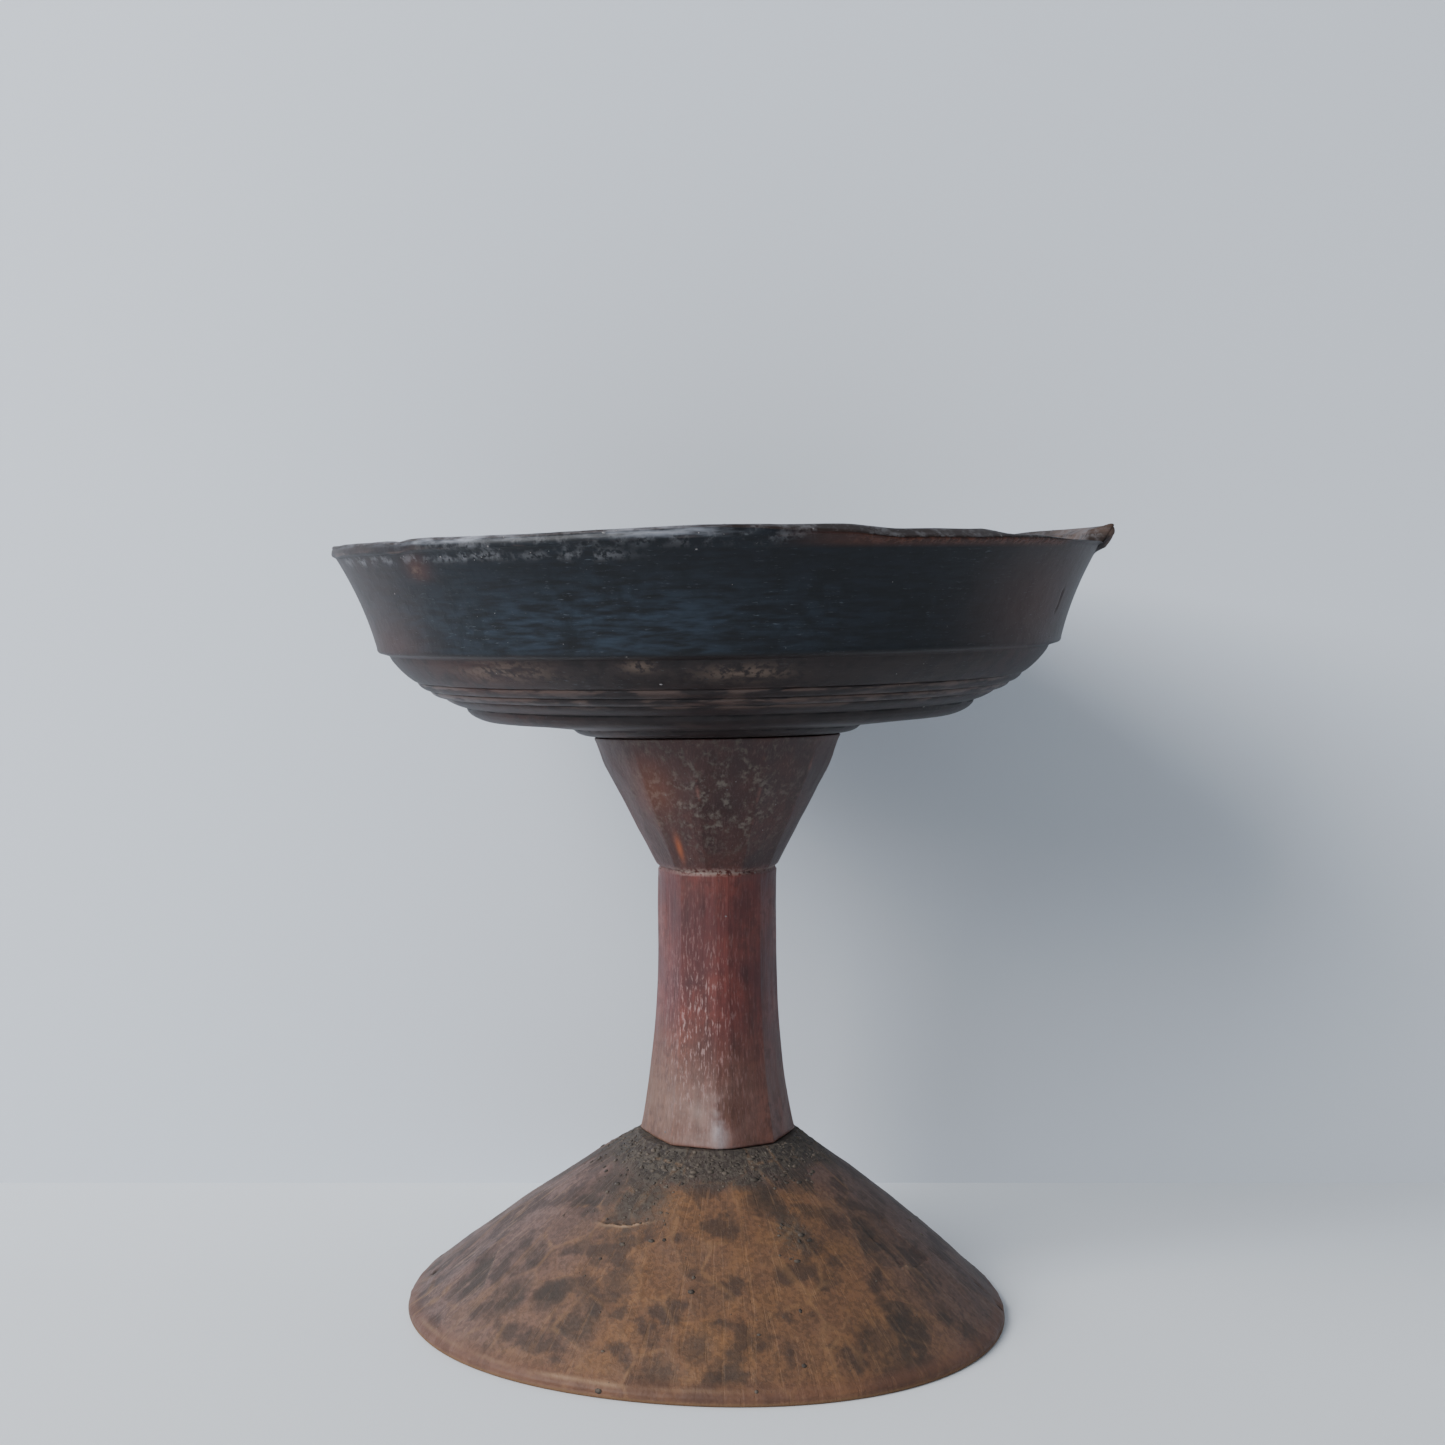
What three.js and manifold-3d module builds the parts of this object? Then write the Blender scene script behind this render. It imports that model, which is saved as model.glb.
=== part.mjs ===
// Footed wooden bowl: a turned dish on a carved stem, which stands on a hollow conical foot.
// Each end of the stem has a round tenon, split by a kerf and spread by a wooden wedge.
// Millimetres, +Z up. The foot rests on z = 0, the pouring lip points roughly along +X,
// and the origin is on the floor under the middle of the whole bowl.

import * as THREE from 'three';
import { mergeVertices } from 'three/addons/utils/BufferGeometryUtils.js';
import Module from 'manifold-3d';

const wasm = await Module();
wasm.setup();
const { clamp, degToRad, lerp, radToDeg, smoothstep } = THREE.MathUtils;

// ---- driving dimensions ------------------------------------------------------------------

// foot: a hollow cone with a thin upright edge, cut by hand and so not quite round
const footRadius = 150;
const footTopRadius = 41.5;
const footHeight = 82.5;
const footEdge = 4.8;
const footCrown = 2.6;         // the slope swells this far above a straight line
const footWall = 10;
const footHub = 30;
const footOffset = [-5.6, -7]; // from the stem's axis to the middle of the foot's edge
const footOval = 3.9;          // the edge wanders in and out twice as it goes round,
const footLobe = 4.5;          // and three times as well
const footLobeTurn = degToRad(20);

// stem: a waisted shaft under a cup-shaped capital
const stemBaseRadius = 39.8;
const waistRadius = 30.7;
const shaftHeight = 137;
const taperHeight = 95;        // the base's taper ends this far above the foot
const creaseDepth = 0.8;       // carved valley between shaft and capital
const capitalHeight = 67.8;
const capitalRadius = 63.7;
const capitalNeck = 2.6;       // the cup starts this much wider than the waist
const neckHeight = 5;
const capitalBelly = 59;       // radius where the cup turns upright
const bellyHeight = 54;        // height of that turn above the crease
const facetCount = 12;

// dish: flared wall above a shoulder, stepped rings below it
const dishTilt = degToRad(1);  // the pouring lip's side stands higher
const seatSlant = degToRad(2.6);  // the seat rises towards -Y
const dishOffset = 1.9;        // the dish's axis lies this far to +X of the stem
const rimRadius = 197.7;
const shoulderRadius = 175.9;
const wallHeight = 47.8;       // shoulder up to the lip band
const lipHeight = 5.6;
const lipWidth = 8.5;
const lipGroove = 0.9;         // the wall tucks in this far under the lip band
const dishWall = 11;
const floorThickness = 31;
const floorRadius = 48;

// stepped rings on the dish's underside, from the shoulder inwards: [run, drop]
const ringSteps = [
  [6.2, 3.0],
  [13.0, 13.6],
  [0.9, 0.2],
  [5.4, 4.4],
  [0.9, 0.2],
  [6.4, 3.3],
  [0.9, 0.2],
  [10.5, 5.0],
  [1.5, 2.4],
  [12.7, 5.6],
];
const undersideDrop = 9.4;     // from the innermost ring down to the seat on the capital
const bossReach = 9;           // a low boss stands round the capital, this much wider
const bossHeight = 2.4;

// pouring lip, as angles about the dish's axis from +X, towards +Y
const troughDepth = 4.8;
const troughFrom = -46;
const troughTo = -12;
const hornRise = 4.6;
const hornTo = 45;
const beakReach = 7.2;
const beakAngle = -15;
const beakSpread = 24;
const beakRoot = 11;           // the beak fades into the wall this far below the lip band

// joints
const upperTenonRadius = 20;
const upperTenonLength = 20;
const lowerTenonRadius = 24;
const kerfLength = 20;
const kerfTip = 1.6;           // width of each kerf at its narrow end
const upperKerfMouth = 4.4;
const lowerKerfMouth = 6.2;
const fitGap = 0.3;            // all round between touching pieces

// fineness
const dishSegments = 72;
const stemSegments = 48;
const footSegments = 72;
const wallSteps = 5;

// ---- levels worked out from the sizes above ----------------------------------------------

const stemBase = footHeight + fitGap;
const creaseLevel = stemBase + shaftHeight;
const seatLevel = creaseLevel + capitalHeight + fitGap;
const ringDrop = ringSteps.reduce((sum, step) => sum + step[1], 0);
const shoulderLevel = undersideDrop + ringDrop;        // above the seat, as are the next three
const lipLevel = shoulderLevel + wallHeight;
const rimLevel = lipLevel + lipHeight;
const floorLevel = floorThickness;
const tenonEnd = footHeight - footHub;                 // the through tenon ends flush with the hub
const tenonRoot = 2 + upperTenonRadius * Math.tan(seatSlant);  // the tenon starts below the seat
const seatMargin = 8;          // what is left above the capital before the seat is cut
const seatFade = 8;            // half the width of the ring in which the seat's slant fades out

// ---- helpers -----------------------------------------------------------------------------

// A closed three.js geometry as a manifold-3d solid.
function toSolid(geometry) {
  const bare = geometry.index ? geometry.toNonIndexed() : geometry.clone();
  bare.deleteAttribute('normal');
  bare.deleteAttribute('uv');
  const merged = mergeVertices(bare, 1e-3);
  const corners = merged.index.array;
  const kept = [];
  for (let i = 0; i < corners.length; i += 3) {
    const [a, b, c] = corners.slice(i, i + 3);
    if (a !== b && b !== c && c !== a) kept.push(a, b, c);
  }
  return new wasm.Manifold(new wasm.Mesh({
    numProp: 3,
    vertProperties: new Float32Array(merged.attributes.position.array),
    triVerts: new Uint32Array(kept),
  }));
}

function toGeometry(solid) {
  const mesh = solid.getMesh();
  const geometry = new THREE.BufferGeometry();
  geometry.setAttribute('position', new THREE.BufferAttribute(mesh.vertProperties, 3));
  geometry.setIndex(new THREE.BufferAttribute(mesh.triVerts, 1));
  geometry.computeVertexNormals();
  return geometry;
}

// A profile of [radius, height] points turned about the Z axis.
function turned(path, segments, steps = 1) {
  const geometry = new THREE.LatheGeometry(path.getPoints(steps), segments);
  return geometry.rotateX(Math.PI / 2);
}

// A round bar from one height to another.
function bar(radius, from, to, segments = stemSegments) {
  const geometry = new THREE.CylinderGeometry(radius, radius, to - from, segments);
  geometry.rotateX(Math.PI / 2);
  return geometry.translate(0, 0, (from + to) / 2);
}

// A wedge-shaped prism along X: its section is mouth wide at z = 0 and tip wide at z = depth.
function wedgePrism(mouth, tip, depth, length) {
  const section = new THREE.Shape();
  section.moveTo(-mouth / 2, 0);
  section.lineTo(mouth / 2, 0);
  section.lineTo(tip / 2, depth);
  section.lineTo(-tip / 2, depth);
  section.closePath();
  const geometry = new THREE.ExtrudeGeometry(section, { depth: length, bevelEnabled: false });
  geometry.translate(0, 0, -length / 2);
  geometry.rotateX(Math.PI / 2);
  return geometry.rotateZ(Math.PI / 2);
}

// Moves every point of a geometry by a rule that is given its angle, radius and height. The rule
// gives back the new radius and height, and how far the point shifts along X and Y.
function reshape(geometry, rule) {
  const position = geometry.attributes.position;
  for (let i = 0; i < position.count; i++) {
    const x = position.getX(i);
    const y = position.getY(i);
    const angle = Math.atan2(y, x);
    const [radius, height, alongX = 0, alongY = 0] = rule(angle, Math.hypot(x, y), position.getZ(i));
    position.setXYZ(i, radius * Math.cos(angle) + alongX, radius * Math.sin(angle) + alongY, height);
  }
  return geometry;
}

// Turns what was built level, with its seat at z = 0, to the dish's tilt on top of the stem.
function onSeat(geometry) {
  geometry.rotateY(-dishTilt);
  return geometry.translate(0, 0, seatLevel);
}

// ---- dish --------------------------------------------------------------------------------

// Rise (or fall) of the rim, and how far it is drawn outwards, at an angle in degrees.
function rimRise(angle) {
  const farSide = smoothstep(angle, troughTo - 10, troughTo);
  const trough = smoothstep(angle, troughFrom, troughFrom + 14) * (1 - farSide);
  const horn = farSide * (1 - smoothstep(angle, hornTo - 20, hornTo));
  return hornRise * horn - troughDepth * trough;
}

function rimReach(angle) {
  const away = Math.min(Math.abs(angle - beakAngle) / beakSpread, 1);
  return beakReach * Math.cos(away * Math.PI / 2) ** 2;
}

function dishProfile() {
  const path = new THREE.Path();
  path.moveTo(0, 0);
  const innerRadius = shoulderRadius - ringSteps.reduce((sum, step) => sum + step[0], 0);
  path.lineTo(capitalRadius, 0);
  path.lineTo(capitalRadius + bossReach, bossHeight);
  path.lineTo(capitalRadius + bossReach + bossHeight, 2 * bossHeight - 0.6);
  let radius = innerRadius;
  let height = undersideDrop;
  path.lineTo(radius, height);
  for (const [run, drop] of [...ringSteps].reverse()) {
    radius += run;
    height += drop;
    path.lineTo(radius, height);
  }
  const lipFoot = rimRadius - lipGroove;
  const waist = shoulderRadius + 0.29 * (lipFoot - shoulderRadius);
  path.lineTo(shoulderRadius, shoulderLevel + 1.5);
  path.quadraticCurveTo(waist, shoulderLevel + wallHeight / 2, lipFoot, lipLevel);
  path.lineTo(rimRadius, lipLevel + 0.8);
  path.lineTo(rimRadius, rimLevel - 1.6);
  path.lineTo(rimRadius - 2.2, rimLevel);
  path.lineTo(rimRadius - lipWidth + 1.5, rimLevel);
  path.lineTo(rimRadius - lipWidth, rimLevel - 1.5);
  const bowlRadius = shoulderRadius - dishWall;
  path.quadraticCurveTo(bowlRadius + 4, lipLevel - wallHeight / 2, bowlRadius - 2, shoulderLevel + 8);
  path.quadraticCurveTo(bowlRadius - 14, floorLevel + 4, floorRadius + 60, floorLevel + 2);
  path.lineTo(floorRadius, floorLevel);
  path.lineTo(0, floorLevel);
  return path;
}

// How far the slanting seat lifts a point of the underside. Past the seat the lift stays the
// same, and it has faded out where the stepped rings begin.
function seatLift(angle, radius, height) {
  const ringFoot = capitalRadius + (shoulderRadius - capitalRadius) / 2;
  const fade = 1 - smoothstep(radius, ringFoot - seatFade, ringFoot + seatFade);
  const below = 1 - smoothstep(height, 2 * undersideDrop, floorLevel);
  return -Math.sin(angle) * Math.min(radius, capitalRadius) * Math.tan(seatSlant) * fade * below;
}

function buildDish() {
  const blank = turned(dishProfile(), dishSegments, wallSteps);
  reshape(blank, (angle, radius, height) => {
    const share = smoothstep(height, lipLevel - beakRoot, lipLevel);
    const rise = share * rimRise(radToDeg(angle));
    const reach = share * rimReach(radToDeg(angle));
    const away = dishOffset * smoothstep(radius, capitalRadius + bossReach, capitalRadius + 4 * bossReach);
    return [radius + reach, height + rise + seatLift(angle, radius, height), away];
  });
  const mortise = bar(upperTenonRadius + fitGap, -tenonRoot, upperTenonLength + fitGap);
  return toSolid(onSeat(blank)).subtract(toSolid(onSeat(mortise)));
}

// ---- stem --------------------------------------------------------------------------------

function stemProfile() {
  const bellyLevel = creaseLevel + bellyHeight;
  const overshoot = capitalHeight - bellyHeight + seatMargin;
  const flare = (capitalRadius - capitalBelly) / (capitalHeight - bellyHeight);
  const path = new THREE.Path();
  path.moveTo(0, stemBase);
  path.lineTo(stemBaseRadius, stemBase);
  path.quadraticCurveTo(waistRadius, stemBase + taperHeight * 0.45, waistRadius, stemBase + taperHeight);
  path.lineTo(waistRadius, creaseLevel - 4);
  path.lineTo(waistRadius - creaseDepth, creaseLevel);
  path.lineTo(waistRadius + capitalNeck, creaseLevel + neckHeight);
  path.lineTo(capitalBelly, bellyLevel);
  path.lineTo(capitalBelly + flare * overshoot, bellyLevel + overshoot);
  path.lineTo(0, bellyLevel + overshoot);
  return path;
}

// Knife-cut facets run up the shaft and fade out in the capital.
function facetRadius(angle, radius, height) {
  const halfFacet = Math.PI / facetCount;
  const offCentre = ((angle + Math.PI * 2) % (halfFacet * 2)) - halfFacet;
  const flat = Math.cos(halfFacet) / Math.cos(offCentre);
  const fade = smoothstep(height, creaseLevel - 20, creaseLevel + bellyHeight);
  return radius * lerp(flat, 1, fade);
}

function buildStem() {
  const blank = turned(stemProfile(), stemSegments, wallSteps);
  reshape(blank, (angle, radius, height) => [facetRadius(angle, radius, height), height]);
  const above = new THREE.BoxGeometry(4 * capitalRadius, 4 * capitalRadius, 4 * seatMargin);
  above.translate(0, 0, 2 * seatMargin).rotateX(-seatSlant).translate(0, 0, -fitGap);
  const upperTenon = bar(upperTenonRadius, -tenonRoot, upperTenonLength);
  const upperKerf = kerfCut(upperKerfMouth, upperTenonRadius);
  upperKerf.rotateX(Math.PI).translate(0, 0, upperTenonLength);
  const lowerTenon = bar(lowerTenonRadius, tenonEnd, stemBase + 1);
  const lowerKerf = kerfCut(lowerKerfMouth, lowerTenonRadius).translate(0, 0, tenonEnd);
  return toSolid(blank)
    .subtract(toSolid(onSeat(above)))
    .add(toSolid(onSeat(upperTenon)))
    .add(toSolid(lowerTenon))
    .subtract(toSolid(onSeat(upperKerf)))
    .subtract(toSolid(lowerKerf));
}

// ---- wedges ------------------------------------------------------------------------------

// The cut for a kerf that is open at z = 0 and narrows upwards.
function kerfCut(mouth, tenonRadius) {
  const spread = (mouth - kerfTip) / kerfLength;
  const cut = wedgePrism(mouth + spread, kerfTip, kerfLength + 1, 3 * tenonRadius);
  return cut.translate(0, 0, -1);
}

// A wedge that fills such a kerf but for the gap all round.
function wedgeFor(mouth, tenonRadius) {
  const length = 2 * (Math.sqrt(tenonRadius ** 2 - (mouth / 2) ** 2) - fitGap);
  const depth = kerfLength - 2 * fitGap;
  return wedgePrism(mouth - 2 * fitGap, kerfTip - 2 * fitGap, depth, length).translate(0, 0, fitGap);
}

function buildUpperWedge() {
  const wedge = wedgeFor(upperKerfMouth, upperTenonRadius);
  wedge.rotateX(Math.PI).translate(0, 0, upperTenonLength);
  return toSolid(onSeat(wedge));
}

function buildLowerWedge() {
  return toSolid(wedgeFor(lowerKerfMouth, lowerTenonRadius).translate(0, 0, tenonEnd));
}

// ---- foot --------------------------------------------------------------------------------

function footProfile() {
  const slope = (footHeight - footEdge) / (footRadius - footTopRadius);
  const drop = footWall * Math.hypot(1, slope);          // the wall's thickness, straight down
  const hubLevel = footHeight - footHub;
  const hollowTop = footTopRadius + (footHeight - drop - hubLevel) / slope;
  const hollowFoot = footTopRadius + (footHeight - drop) / slope;
  const path = new THREE.Path();
  path.moveTo(0, hubLevel);
  path.lineTo(hollowTop, hubLevel);
  path.lineTo(hollowFoot, 0);
  path.lineTo(footRadius - 1, 0);
  path.lineTo(footRadius, 1);
  path.lineTo(footRadius, footEdge - 1);
  path.lineTo(footRadius - 1.6, footEdge);
  const middle = (footRadius + footTopRadius) / 2 + 2 * footCrown * Math.sin(Math.atan(slope));
  const middleLevel = (footHeight + footEdge) / 2 + 2 * footCrown * Math.cos(Math.atan(slope));
  path.quadraticCurveTo(middle, middleLevel, footTopRadius, footHeight);
  path.lineTo(0, footHeight);
  return path;
}

// The foot's round top grows into an edge that is off centre and not quite round.
function footPlan(angle, radius, height) {
  const share = clamp((radius - footTopRadius) / (footRadius - footTopRadius), 0, 1);
  const sway = footOval * Math.sin(2 * angle) + footLobe * Math.sin(3 * angle + footLobeTurn);
  return [radius - share * sway, height, share * footOffset[0], share * footOffset[1]];
}

function buildFoot() {
  const blank = reshape(turned(footProfile(), footSegments, wallSteps), footPlan);
  const mortise = bar(lowerTenonRadius + fitGap, footHeight - footHub - 1, footHeight + 1);
  return toSolid(blank).subtract(toSolid(mortise));
}

// ---- assembly ----------------------------------------------------------------------------

function wood(name, solid, color, roughness) {
  const material = new THREE.MeshStandardMaterial({ color, roughness, metalness: 0 });
  const mesh = new THREE.Mesh(toGeometry(solid), material);
  mesh.name = name;
  return mesh;
}

const pieces = new THREE.Group();
pieces.add(
  wood('dish', buildDish(), 0x26242a, 0.5),
  wood('stem', buildStem(), 0x4a2a24, 0.45),
  wood('foot', buildFoot(), 0x5a4638, 0.6),
  wood('upper_wedge', buildUpperWedge(), 0x8a6a48, 0.8),
  wood('lower_wedge', buildLowerWedge(), 0x8a6a48, 0.8),
);

const extent = new THREE.Box3().setFromObject(pieces, true);
const middle = extent.getCenter(new THREE.Vector3());
pieces.position.set(-middle.x, -middle.y, -extent.min.z);

const bowl = new THREE.Group();
bowl.add(pieces);

export default bowl;
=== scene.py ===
import math

import bpy
import numpy as np
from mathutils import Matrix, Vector


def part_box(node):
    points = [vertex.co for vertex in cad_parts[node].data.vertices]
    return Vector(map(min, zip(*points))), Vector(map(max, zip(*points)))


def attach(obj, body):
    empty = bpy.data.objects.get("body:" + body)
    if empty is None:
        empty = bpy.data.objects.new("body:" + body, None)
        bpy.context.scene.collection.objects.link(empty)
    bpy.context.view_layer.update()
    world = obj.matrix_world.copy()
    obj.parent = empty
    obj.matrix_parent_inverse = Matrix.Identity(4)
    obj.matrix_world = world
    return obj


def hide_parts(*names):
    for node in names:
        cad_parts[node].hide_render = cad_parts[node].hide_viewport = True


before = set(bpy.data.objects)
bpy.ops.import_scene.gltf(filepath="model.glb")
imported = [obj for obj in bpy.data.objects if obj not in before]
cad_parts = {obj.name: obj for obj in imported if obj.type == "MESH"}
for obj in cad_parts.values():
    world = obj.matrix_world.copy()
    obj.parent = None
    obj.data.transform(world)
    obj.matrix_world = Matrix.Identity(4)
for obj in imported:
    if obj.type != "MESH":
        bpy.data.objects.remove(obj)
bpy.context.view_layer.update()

# A footed wooden bowl: turned dish, carved stem, hollow foot, and the wedges in both joints.
# Metres. Places come from the frame's boxes; sizes below are in millimetres and turned to metres
# by MM where a mesh is made.

MM = 0.001


# ---- places taken from the frame ------------------------------------------------------------

foot_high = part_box("foot")[1]
wedge_low, wedge_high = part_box("lower_wedge")

STEM_X = (wedge_low[0] + wedge_high[0]) / 2 / MM     # the stem's axis
FOOT_TOP = foot_high[2] / MM


# ---- sizes, in millimetres ------------------------------------------------------------------

GAP = 0.3                       # between touching pieces

FOOT_RADIUS = 150.0
FOOT_TOP_RADIUS = 41.5
FOOT_EDGE = 4.8
FOOT_CROWN = 2.6
FOOT_WALL = 10.0
FOOT_OFFSET = (-5.6, -7.0)      # from the stem's axis to the middle of the foot's edge
FOOT_OVAL = 3.9                 # the edge wanders in and out twice as it goes round,
FOOT_LOBE = 4.5                 # and three times as well
FOOT_LOBE_TURN = math.radians(20)

STEM_BASE = FOOT_TOP + GAP
STEM_BASE_RADIUS = 39.8
WAIST_RADIUS = 30.7
CREASE_Z = STEM_BASE + 137.0
CAPITAL_HEIGHT = 67.8
CAPITAL_RADIUS = 63.7
BELLY_RADIUS = 59.0
BELLY_Z = CREASE_Z + 54.0
TENON_END = 52.5
LOWER_TENON = 24.0
UPPER_TENON = (20.0, 20.0)      # radius and length

SEAT_Z = CREASE_Z + CAPITAL_HEIGHT + GAP
SEAT_SLANT = math.radians(2.6)  # the seat rises towards -Y
DISH_TILT = math.radians(1.0)   # the pouring lip's side stands higher
DISH_OFFSET = 1.9               # the dish's axis lies this far to +X of the stem
BOSS_RADIUS = 72.7
SHOULDER_RADIUS = 175.9
SHOULDER_LEVEL = 47.3           # this and the next levels are above the seat, square to the dish
LIP_LEVEL = 95.1
RIM_LEVEL = 100.7
RIM_RADIUS = 197.7
LIP_WIDTH = 8.5
FLOOR_LEVEL = 31.0
FLOOR_RADIUS = 48.0
BOWL_RADIUS = 164.9

DISH_STEPS = 360                # columns of faces round each piece
STEM_STEPS = 320
FOOT_STEPS = 460
STEM_CUTS, STEM_CUT_DEPTH, STEM_CUT_SEED = 70, 0.55, 41.0     # adze cuts per metre, depth
FOOT_CUTS, FOOT_CUT_DEPTH, FOOT_CUT_SEED = 50, 1.1, 51.0

HORN_ANGLE = -12.5              # where the pouring lip's horn is cut off, degrees from +X
HORN_RISE = 4.4
HORN_REACH = 5.8


# ---- camera ---------------------------------------------------------------------------------

def make_camera():
    data = bpy.data.cameras.new("camera")
    data.sensor_width = 36.0
    data.lens = 49.8
    data.clip_start = 0.01
    data.shift_y = -0.0917           # frames the bowl with upright lines kept parallel
    camera = bpy.data.objects.new("camera", data)
    camera.location = (STEM_X * MM + 0.0028, -1.04, 0.363)
    camera.rotation_euler = (math.radians(90), 0, 0)
    bpy.context.collection.objects.link(camera)
    bpy.context.scene.camera = camera


# ---- floor, wall and light ------------------------------------------------------------------

def paint(red, green, blue):
    """A colour given as display values from 0 to 255, as the linear values that nodes take."""
    return tuple(((c / 255 + 0.055) / 1.055) ** 2.4 for c in (red, green, blue)) + (1,)


def plain_material(name, color, roughness):
    material = bpy.data.materials.new(name)
    material.use_nodes = True
    shader = material.node_tree.nodes["Principled BSDF"]
    shader.inputs["Base Color"].default_value = color
    shader.inputs["Roughness"].default_value = roughness
    return material


def one_sided(material):
    """Lets the floor and the wall be looked through from behind."""
    tree = material.node_tree
    side = tree.nodes.new("ShaderNodeNewGeometry")
    clear = tree.nodes.new("ShaderNodeMath")
    clear.operation = "SUBTRACT"
    clear.inputs[0].default_value = 1.0
    tree.links.new(side.outputs["Backfacing"], clear.inputs[1])
    tree.links.new(clear.outputs[0], tree.nodes["Principled BSDF"].inputs["Alpha"])
    return material


def make_stage():
    half, top = 3.0, 1.6             # half the floor's width, and how high the wall stands
    near, far = 0.184, 0.30          # the wall leans back from its foot
    for name, corners, color in (
        ("floor", [(-half, -half, 0), (half, -half, 0), (half, near, 0), (-half, near, 0)],
         paint(226, 230, 234)),
        ("wall", [(-half, near, 0), (half, near, 0), (half, far, top), (-half, far, top)],
         paint(206, 212, 220)),
    ):
        mesh = bpy.data.meshes.new(name)
        mesh.from_pydata(corners, [], [(0, 1, 2, 3)])
        mesh.materials.append(one_sided(plain_material(name, color, 0.75)))
        stage = bpy.data.objects.new(name, mesh)
        bpy.context.collection.objects.link(stage)


def make_light(name, place, aim, size, power, color):
    data = bpy.data.lights.new(name, "AREA")
    data.shape = "RECTANGLE"
    data.size, data.size_y = size
    data.energy = power
    data.color = color
    light = bpy.data.objects.new(name, data)
    light.location = place
    light.rotation_euler = (Vector(aim) - Vector(place)).to_track_quat("-Z", "Y").to_euler()
    bpy.context.collection.objects.link(light)


# each lamp: name, place, what it is aimed at, width and height, watts, colour
LAMPS = (
    ("window", (-3.6, -2.8, 2.9), (0, 0.1, 0.2), (4.0, 3.2), 465, (0.98, 0.985, 1.0)),
    ("wall wash", (2.0, 0.1, 0.9), (0.6, 0.25, 0.3), (0.8, 1.6), 4, (0.93, 0.96, 1.0)),
    ("front", (-0.5, -2.6, 1.3), (0, 0, 0.3), (2.2, 1.4), 4, (0.86, 0.93, 1.0)),
)


def make_lights():
    world = bpy.data.worlds.new("soft sky")
    world.use_nodes = True
    sky = world.node_tree.nodes["Background"].inputs
    sky["Color"].default_value = (0.80, 0.89, 1.0, 1)
    sky["Strength"].default_value = 0.24
    bpy.context.scene.world = world
    for lamp in LAMPS:
        make_light(*lamp)


# ---- outlines -------------------------------------------------------------------------------

class Outline:
    """A row of (radius, height) points that a tool would follow round the turned piece."""

    # a groove's shape: how far across it, and how deep there
    GROOVE = ((0.2, 0.25), (0.42, 0.85), (0.5, 1.0), (0.58, 0.85), (0.8, 0.25), (1, 0))

    def __init__(self, radius, height):
        self.points = [(radius, height)]

    def line_to(self, radius, height, step=1.6):
        r0, z0 = self.points[-1]
        count = max(1, round(math.hypot(radius - r0, height - z0) / step))
        for i in range(1, count + 1):
            t = i / count
            self.points.append((r0 + (radius - r0) * t, z0 + (height - z0) * t))

    def curve_to(self, control, end, step=1.6):
        r0, z0 = self.points[-1]
        reach = math.hypot(control[0] - r0, control[1] - z0)
        reach += math.hypot(end[0] - control[0], end[1] - control[1])
        count = max(3, round(reach / step))
        for i in range(1, count + 1):
            t = i / count
            a, b, c = (1 - t) ** 2, 2 * t * (1 - t), t * t
            self.points.append((a * r0 + b * control[0] + c * end[0],
                                a * z0 + b * control[1] + c * end[1]))

    def bulge_to(self, radius, height, rise, step=1.2):
        """A band that swells out of the straight line by `rise`, square to it."""
        r0, z0 = self.points[-1]
        length = math.hypot(radius - r0, height - z0)
        out = ((height - z0) / length, -(radius - r0) / length)
        count = max(4, round(length / step))
        for i in range(1, count + 1):
            t = i / count
            swell = rise * (4 * t * (1 - t)) ** 0.7
            self.points.append((r0 + (radius - r0) * t + out[0] * swell,
                                z0 + (height - z0) * t + out[1] * swell))

    def groove(self, along, depth, width):
        """A V cut across the surface; `along` is the outline's direction in degrees."""
        r0, z0 = self.points[-1]
        run = (math.cos(math.radians(along)), math.sin(math.radians(along)))
        for share, sink in self.GROOVE:
            self.points.append((r0 + run[0] * width * share - run[1] * depth * sink,
                                z0 + run[1] * width * share + run[0] * depth * sink))


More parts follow.
